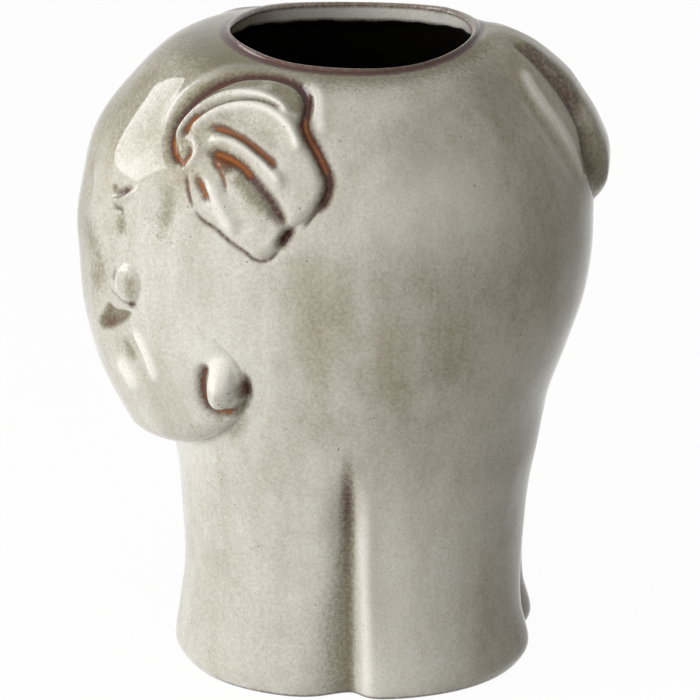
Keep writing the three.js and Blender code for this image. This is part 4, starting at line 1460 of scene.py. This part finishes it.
def inner_rings(shape, angle):
    """Rings of the inner skin, one wall inside the bare outline, and the rows they lie at."""
    wall = mm(shape.wall)
    lowest = float(row_at_height(mm(shape.floor) + wall))
    rows = np.linspace(LAST - INNER_START, lowest, INNER_ROWS)
    row, turn = np.meshgrid(rows, angle, indexing="ij")
    return skin_point(row, turn) - skin_normal(row, turn) * wall, rows


def floor_rings(shape, edge_ring, angle):
    """Rings round the corner between the inner skin's lowest ring and the floor."""
    radius = np.hypot(edge_ring[:, 0], edge_ring[:, 1])
    rings = []
    for bend in map(math.radians, FLOOR_BENDS):
        height = mix(edge_ring[:, 2], mm(shape.floor), math.sin(bend))
        rings.append(ring_points(radius - FLOOR_CORNER * (1 - math.cos(bend)), angle, height))
    return np.stack(rings)


def sole_rings(shape, angle):
    """Rings under the pot, from the recess out over the flat ring that it stands on."""
    sole = float(MEASURES["side"][0])
    recess = sole - STANDING_WIDTH - mm(shape.groove_foot_depth)
    rings = [ring_points(recess - inwards, angle, height) for inwards, height in RECESS_STEPS]
    rings.append(ring_points((recess + sole) / 2 - GROOVE_CLEARANCE, angle, 0.0))
    return np.stack(rings)


def lip_marks(inward, down):
    """The glaze marks of one ring, counted inwards over the lip; down is its depth below the top."""
    if inward < NECK_RING:
        umber = 0.75 if inward in BROWN_RINGS else 0.35
        return {"umber": umber, "rust": 0.45, "pale": 0.6 * (inward in PALE_RINGS), "moss": 0, "cloud": 0}
    # The neck is painted fully pale: its own pale glaze, and painted light where it lies in shade.
    moss = 0.12 * smooth(down, 4, 9)
    if inward == NECK_RING:
        return {"umber": 0.5, "rust": 0.5, "pale": 1, "moss": moss, "cloud": 0}
    return {"umber": 0.9 * smooth(down, 6.4, 9.4), "rust": 0, "pale": 1, "moss": moss, "cloud": 0}


def body_marks(relief, grid, outer, over, top):
    """The glaze marks of all the body's rings. The outer skin and the lip's rings are slices."""
    marks = {}
    for key, drawn in relief.marks.items():
        marks[key] = np.zeros(grid.shape[:2])
        marks[key][outer] = drawn
        marks[key][outer.stop:] = drawn[-1]
    for inward, place in enumerate(range(over.start, over.stop)):
        for key, values in lip_marks(inward, top - grid[place, :, 2]).items():
            marks[key][place] = values
    # Dark and orange glaze round the foot.
    low = grid[:outer.stop, :, 2]
    for key, strength, start, end in (("umber", 0.9, 0.3, 1.8), ("rust", 0.3, 0.8, 3.2)):
        foot = strength * (1 - smooth(low, start, end))
        marks[key][:outer.stop] = np.maximum(marks[key][:outer.stop], foot)
    return marks


def closed_rings(grid):
    """Points and faces of a closed skin through rings of points, with a point in each end."""
    count, width = grid.shape[:2]
    start = grid[0].mean(0) * [0, 0, 1]
    end = grid[-1].mean(0) * [0, 0, 1]
    points = np.vstack([grid.reshape(-1, 3), start, end])
    index = np.arange(count * width).reshape(count, width)
    following = np.roll(index, -1, axis=1)
    quads = np.stack([index[:-1], following[:-1], following[1:], index[1:]], -1)
    faces = quads.reshape(-1, 4).tolist()
    faces += [[following[0, i], index[0, i], count * width] for i in range(width)]
    faces += [[index[-1, i], following[-1, i], count * width + 1] for i in range(width)]
    return points, faces


def sink_body(mesh, sink):
    """Sinks the body's skin under the separate pieces; gives its normals from before that."""
    places = np.empty(len(mesh.vertices) * 3)
    mesh.vertices.foreach_get("co", places)
    places = places.reshape(-1, 3)
    shaped = places[:sink.size].reshape(*sink.shape, 3)
    normals = grid_normals(shaped, closed=True)
    shaped = shaped - normals * (sink * MM)[..., None]
    places[:sink.size] = shaped.reshape(-1, 3)
    mesh.vertices.foreach_set("co", places.reshape(-1))
    return normals


def coat_body(mesh, count, width, under, dark_from):
    """The dark glaze inside the pot and the bare clay under it."""
    look = bpy.context.scene.cachepot_glaze
    inside = plain_material("dark_inner_glaze", look.inside, roughness=0.5, scale=300.0, depth=0.0004)
    sole = plain_material("bare_clay", look.clay, roughness=0.85, scale=900.0, depth=0.0003)
    mesh.materials.append(inside)
    mesh.materials.append(sole)
    kinds = np.zeros((count - 1, width), int)
    kinds[dark_from - 1:] = DARK
    kinds[:under] = CLAY
    kinds = np.concatenate([kinds.reshape(-1), np.full(width, CLAY), np.full(width, DARK)])
    mesh.polygons.foreach_set("material_index", kinds)
    mesh.polygons.foreach_set("use_smooth", np.ones(len(mesh.polygons), bool))
    mesh.update()


def make_body():
    """The hollow pot: sole, modelled skin, rounded lip, neck, inner skin and floor."""
    shape = bpy.context.scene.cachepot_shape
    angle = column_angles()
    outer_row = outer_rows()
    row, turn = np.meshgrid(outer_row, angle, indexing="ij")
    skin, relief = modelled(row, turn)
    lip, top = lip_and_neck(shape, skin[-1], angle)
    inner, inner_row = inner_rings(shape, angle)
    bottom = floor_rings(shape, inner[-1], angle)
    under = sole_rings(shape, angle)
    skin[:len(FOOT_ROUNDING), :, :2] *= 1 - FOOT_ROUNDING[:, None, None] / FOOT_RADIUS
    grid = np.concatenate([under, skin, lip, inner, bottom])
    outer = slice(len(under), len(under) + len(skin))
    over = slice(outer.stop, outer.stop + len(lip))
    count, width = grid.shape[:2]

    # What the leg grooves need to know of each spot.
    rows = np.zeros(count)
    rows[outer] = outer_row
    rows[over] = LAST
    rows[over.stop:over.stop + INNER_ROWS] = inner_row
    rows[over.stop + INNER_ROWS:] = inner_row[-1]
    legs = np.ones(count)
    legs[:outer.start] = 0
    legs[over] = 0
    stored = {
        "turn": np.tile(np.radians(angle), count), "reach": np.repeat(along("side", rows) * MM, width),
        "rise": np.repeat(along("height", rows) * MM, width), "legs": np.repeat(legs, width),
    }
    for key, marks in body_marks(relief, grid, outer, over, top).items():
        stored[key] = marks.reshape(-1)
    # The two points that close the ends carry no marks.
    stored = {key: np.concatenate([values, [0, 0]]) for key, values in stored.items()}

    points, faces = closed_rings(grid)
    body = new_mesh("pot_shell", points, faces, marks=stored)
    part_legs(body, glaze_material("body_glaze"))
    sink = np.zeros((count, width))
    sink[outer] = sink_under_patches(row, turn)
    normals = sink_body(body.data, sink)
    coat_body(body.data, count, width, outer.start, over.stop - 1)
    ups = np.vstack([normals.reshape(-1, 3), [0, 0, -1], [0, 0, 1]])
    body.data.normals_split_custom_set_from_vertices(ups.tolist())
    return body


class CACHEPOT_OT_body(bpy.types.Operator):
    """Make the hollow body with its trunk, leg grooves and lip"""

    bl_idname = "cachepot.body"
    bl_label = "Make the body"

    def execute(self, context):
        finish_piece(make_body(), "body_glaze", "pot_body")
        return {"FINISHED"}


def make_piece(name, key, slot, node, mirrored=False):
    """One separate piece with its glaze."""
    piece = make_patch(name, PATCHES[key], mirrored)
    piece.data.materials.append(glaze_material(slot))
    finish_piece(piece, slot, node)


def make_pair(word, key, slot, nodes):
    """The left and the right piece of a pair."""
    for side, node in zip(("left", "right"), nodes):
        make_piece(side + "_" + word, key, slot, node, mirrored=side == "right")


class CACHEPOT_OT_ears(bpy.types.Operator):
    """Make the two folded ears"""

    bl_idname = "cachepot.ears"
    bl_label = "Make the ears"

    def execute(self, context):
        make_pair("ear_leaf", "ear", "fold_glaze", ("left_ear", "right_ear"))
        return {"FINISHED"}


class CACHEPOT_OT_lids(bpy.types.Operator):
    """Make the two eyelids with the creases round them"""

    bl_idname = "cachepot.lids"
    bl_label = "Make the eyelids"

    def execute(self, context):
        make_pair("eye_fold", "lid", "sprig_glaze", ("left_eyelid", "right_eyelid"))
        return {"FINISHED"}


class CACHEPOT_OT_tusks(bpy.types.Operator):
    """Make the two short tusks"""

    bl_idname = "cachepot.tusks"
    bl_label = "Make the tusks"

    def execute(self, context):
        make_pair("tusk_cone", "tusk", "sprig_glaze", ("left_tusk", "right_tusk"))
        return {"FINISHED"}


class CACHEPOT_OT_tip(bpy.types.Operator):
    """Make the curled tip of the trunk"""

    bl_idname = "cachepot.tip"
    bl_label = "Make the trunk's tip"

    def execute(self, context):
        make_piece("trunk_curl", "tip", "fold_glaze", "trunk_tip")
        return {"FINISHED"}


class CACHEPOT_OT_tail(bpy.types.Operator):
    """Make the tail that lies down the back"""

    bl_idname = "cachepot.tail"
    bl_label = "Make the tail"

    def execute(self, context):
        make_piece("tail_flap", "tail", "fold_glaze", "tail")
        return {"FINISHED"}


def point_at(thing, place, target):
    thing.location = place
    thing.rotation_euler = (Vector(target) - Vector(place)).to_track_quat("-Z", "Y").to_euler()


def place_camera():
    """The photograph's view, from the left side and a little above."""
    data = bpy.data.cameras.new("camera")
    camera = bpy.data.objects.new("camera", data)
    bpy.context.scene.collection.objects.link(camera)
    turn = math.radians(CAMERA_TURN)
    aim = Vector((0, AXIS * MM, AIM_HEIGHT))
    away = (CAMERA_AWAY * math.sin(turn), -CAMERA_AWAY * math.cos(turn), CAMERA_HEIGHT - AIM_HEIGHT)
    point_at(camera, aim + Vector(away), aim)
    data.sensor_width = SENSOR
    data.lens = SENSOR * FOCAL_PIXELS / PICTURE_PIXELS
    data.shift_x = SHIFT_PIXELS / PICTURE_PIXELS
    bpy.context.scene.camera = camera


def soft_light(name, lamp, power):
    """A rectangular soft light aimed at the pot."""
    data = bpy.data.lights.new(name, "AREA")
    data.shape = "RECTANGLE"
    data.size = lamp.width
    data.size_y = lamp.height
    data.energy = power
    light = bpy.data.objects.new(name, data)
    bpy.context.scene.collection.objects.link(light)
    turn = math.radians(lamp.turn)
    rise = math.radians(lamp.rise)
    aim = Vector((0, AXIS * MM, LAMP_AIM))
    away = Vector((math.sin(turn) * math.cos(rise), -math.cos(turn) * math.cos(rise), math.sin(rise)))
    point_at(light, aim + away * lamp.away, aim)
    light.rotation_euler.rotate_axis("Z", math.radians(lamp.lean))
    light.visible_camera = False
    light.visible_diffuse = not lamp.mirrored
    light.visible_glossy = lamp.mirrored


def seen_white(n, plain, share, kind):
    """Mixes a shader with plain white for what the camera and reflections see."""
    path = n.add("ShaderNodeLightPath").outputs
    reflected = n.math("MAXIMUM", path["Is Glossy Ray"], path["Is Transmission Ray"])
    seen = n.math("MAXIMUM", path["Is Camera Ray"], reflected)
    white = n.add(kind, {"Color": (1, 1, 1, 1), "Strength": 1.0})
    mixed = n.add("ShaderNodeMixShader", {0: n.times(seen, share), 1: plain, 2: white.outputs[0]})
    return mixed.outputs[0]


def make_world(stage):
    """A world that lights the pot evenly and is white where it is seen."""
    world = bpy.data.worlds.new("studio")
    bpy.context.scene.world = world
    world.use_nodes = True
    world.node_tree.nodes.clear()
    n = Nodes(world.node_tree)
    ambient = n.add("ShaderNodeBackground", {"Color": colour4(stage.ambient_tone), "Strength": stage.ambient})
    surface = seen_white(n, ambient.outputs[0], 1.0, "ShaderNodeBackground")
    n.add("ShaderNodeOutputWorld", {"Surface": surface})


def make_floor(stage):
    """A wide round floor, white but for the shadow on it."""
    turns = [math.tau * i / FLOOR_SIDES for i in range(FLOOR_SIDES)]
    ring = [(FLOOR_RADIUS * math.cos(turn), FLOOR_RADIUS * math.sin(turn), 0) for turn in turns]
    mesh = bpy.data.meshes.new("floor")
    mesh.from_pydata(ring, [], [list(range(FLOOR_SIDES))])
    floor = bpy.data.objects.new("floor", mesh)
    bpy.context.scene.collection.objects.link(floor)
    material, n = new_material("pale_floor")
    matt = n.add("ShaderNodeBsdfDiffuse", {"Color": colour4(stage.floor_tone)})
    surface = seen_white(n, matt.outputs[0], FLOOR_WHITE, "ShaderNodeEmission")
    n.add("ShaderNodeOutputMaterial", {"Surface": surface})
    mesh.materials.append(material)


class CACHEPOT_OT_stage(bpy.types.Operator):
    """Make the floor, the lights, the world and the camera"""

    bl_idname = "cachepot.stage"
    bl_label = "Set the stage"

    def execute(self, context):
        stage = context.scene.cachepot_stage
        make_world(stage)
        make_floor(stage)
        for name, lamp in LAMPS.items():
            soft_light(name, lamp, getattr(stage, name))
        place_camera()
        return {"FINISHED"}


class CACHEPOT_PT_panel(bpy.types.Panel):
    """Lists the pieces of the cachepot and their sizes"""

    bl_label = "Elephant cachepot"
    bl_idname = "CACHEPOT_PT_panel"
    bl_space_type = "VIEW_3D"
    bl_region_type = "UI"
    bl_category = "Cachepot"

    def draw(self, context):
        for operator in PIECES:
            self.layout.operator(operator.bl_idname)
        scene = context.scene
        for group in (scene.cachepot_shape, scene.cachepot_glaze, scene.cachepot_stage):
            box = self.layout.box()
            for name in group.bl_rna.properties.keys():
                if name not in ("rna_type", "name"):
                    box.prop(group, name)


PIECES = (
    CACHEPOT_OT_body, CACHEPOT_OT_ears, CACHEPOT_OT_lids, CACHEPOT_OT_tusks,
    CACHEPOT_OT_tip, CACHEPOT_OT_tail, CACHEPOT_OT_stage,
)
GROUPS = (CachepotShape, CachepotGlaze, CachepotStage)


def register():
    for made in GROUPS + PIECES + (CACHEPOT_PT_panel,):
        bpy.utils.register_class(made)
    bpy.types.Scene.cachepot_shape = PointerProperty(type=CachepotShape)
    bpy.types.Scene.cachepot_glaze = PointerProperty(type=CachepotGlaze)
    bpy.types.Scene.cachepot_stage = PointerProperty(type=CachepotStage)


def unregister():
    del bpy.types.Scene.cachepot_shape
    del bpy.types.Scene.cachepot_glaze
    del bpy.types.Scene.cachepot_stage
    for made in reversed(GROUPS + PIECES + (CACHEPOT_PT_panel,)):
        bpy.utils.unregister_class(made)


def main():
    register()
    bpy.ops.cachepot.body()
    bpy.ops.cachepot.ears()
    bpy.ops.cachepot.lids()
    bpy.ops.cachepot.tusks()
    bpy.ops.cachepot.tip()
    bpy.ops.cachepot.tail()
    bpy.ops.cachepot.stage()
    bpy.context.scene.view_settings.view_transform = "Standard"


if __name__ == "__main__":
    main()
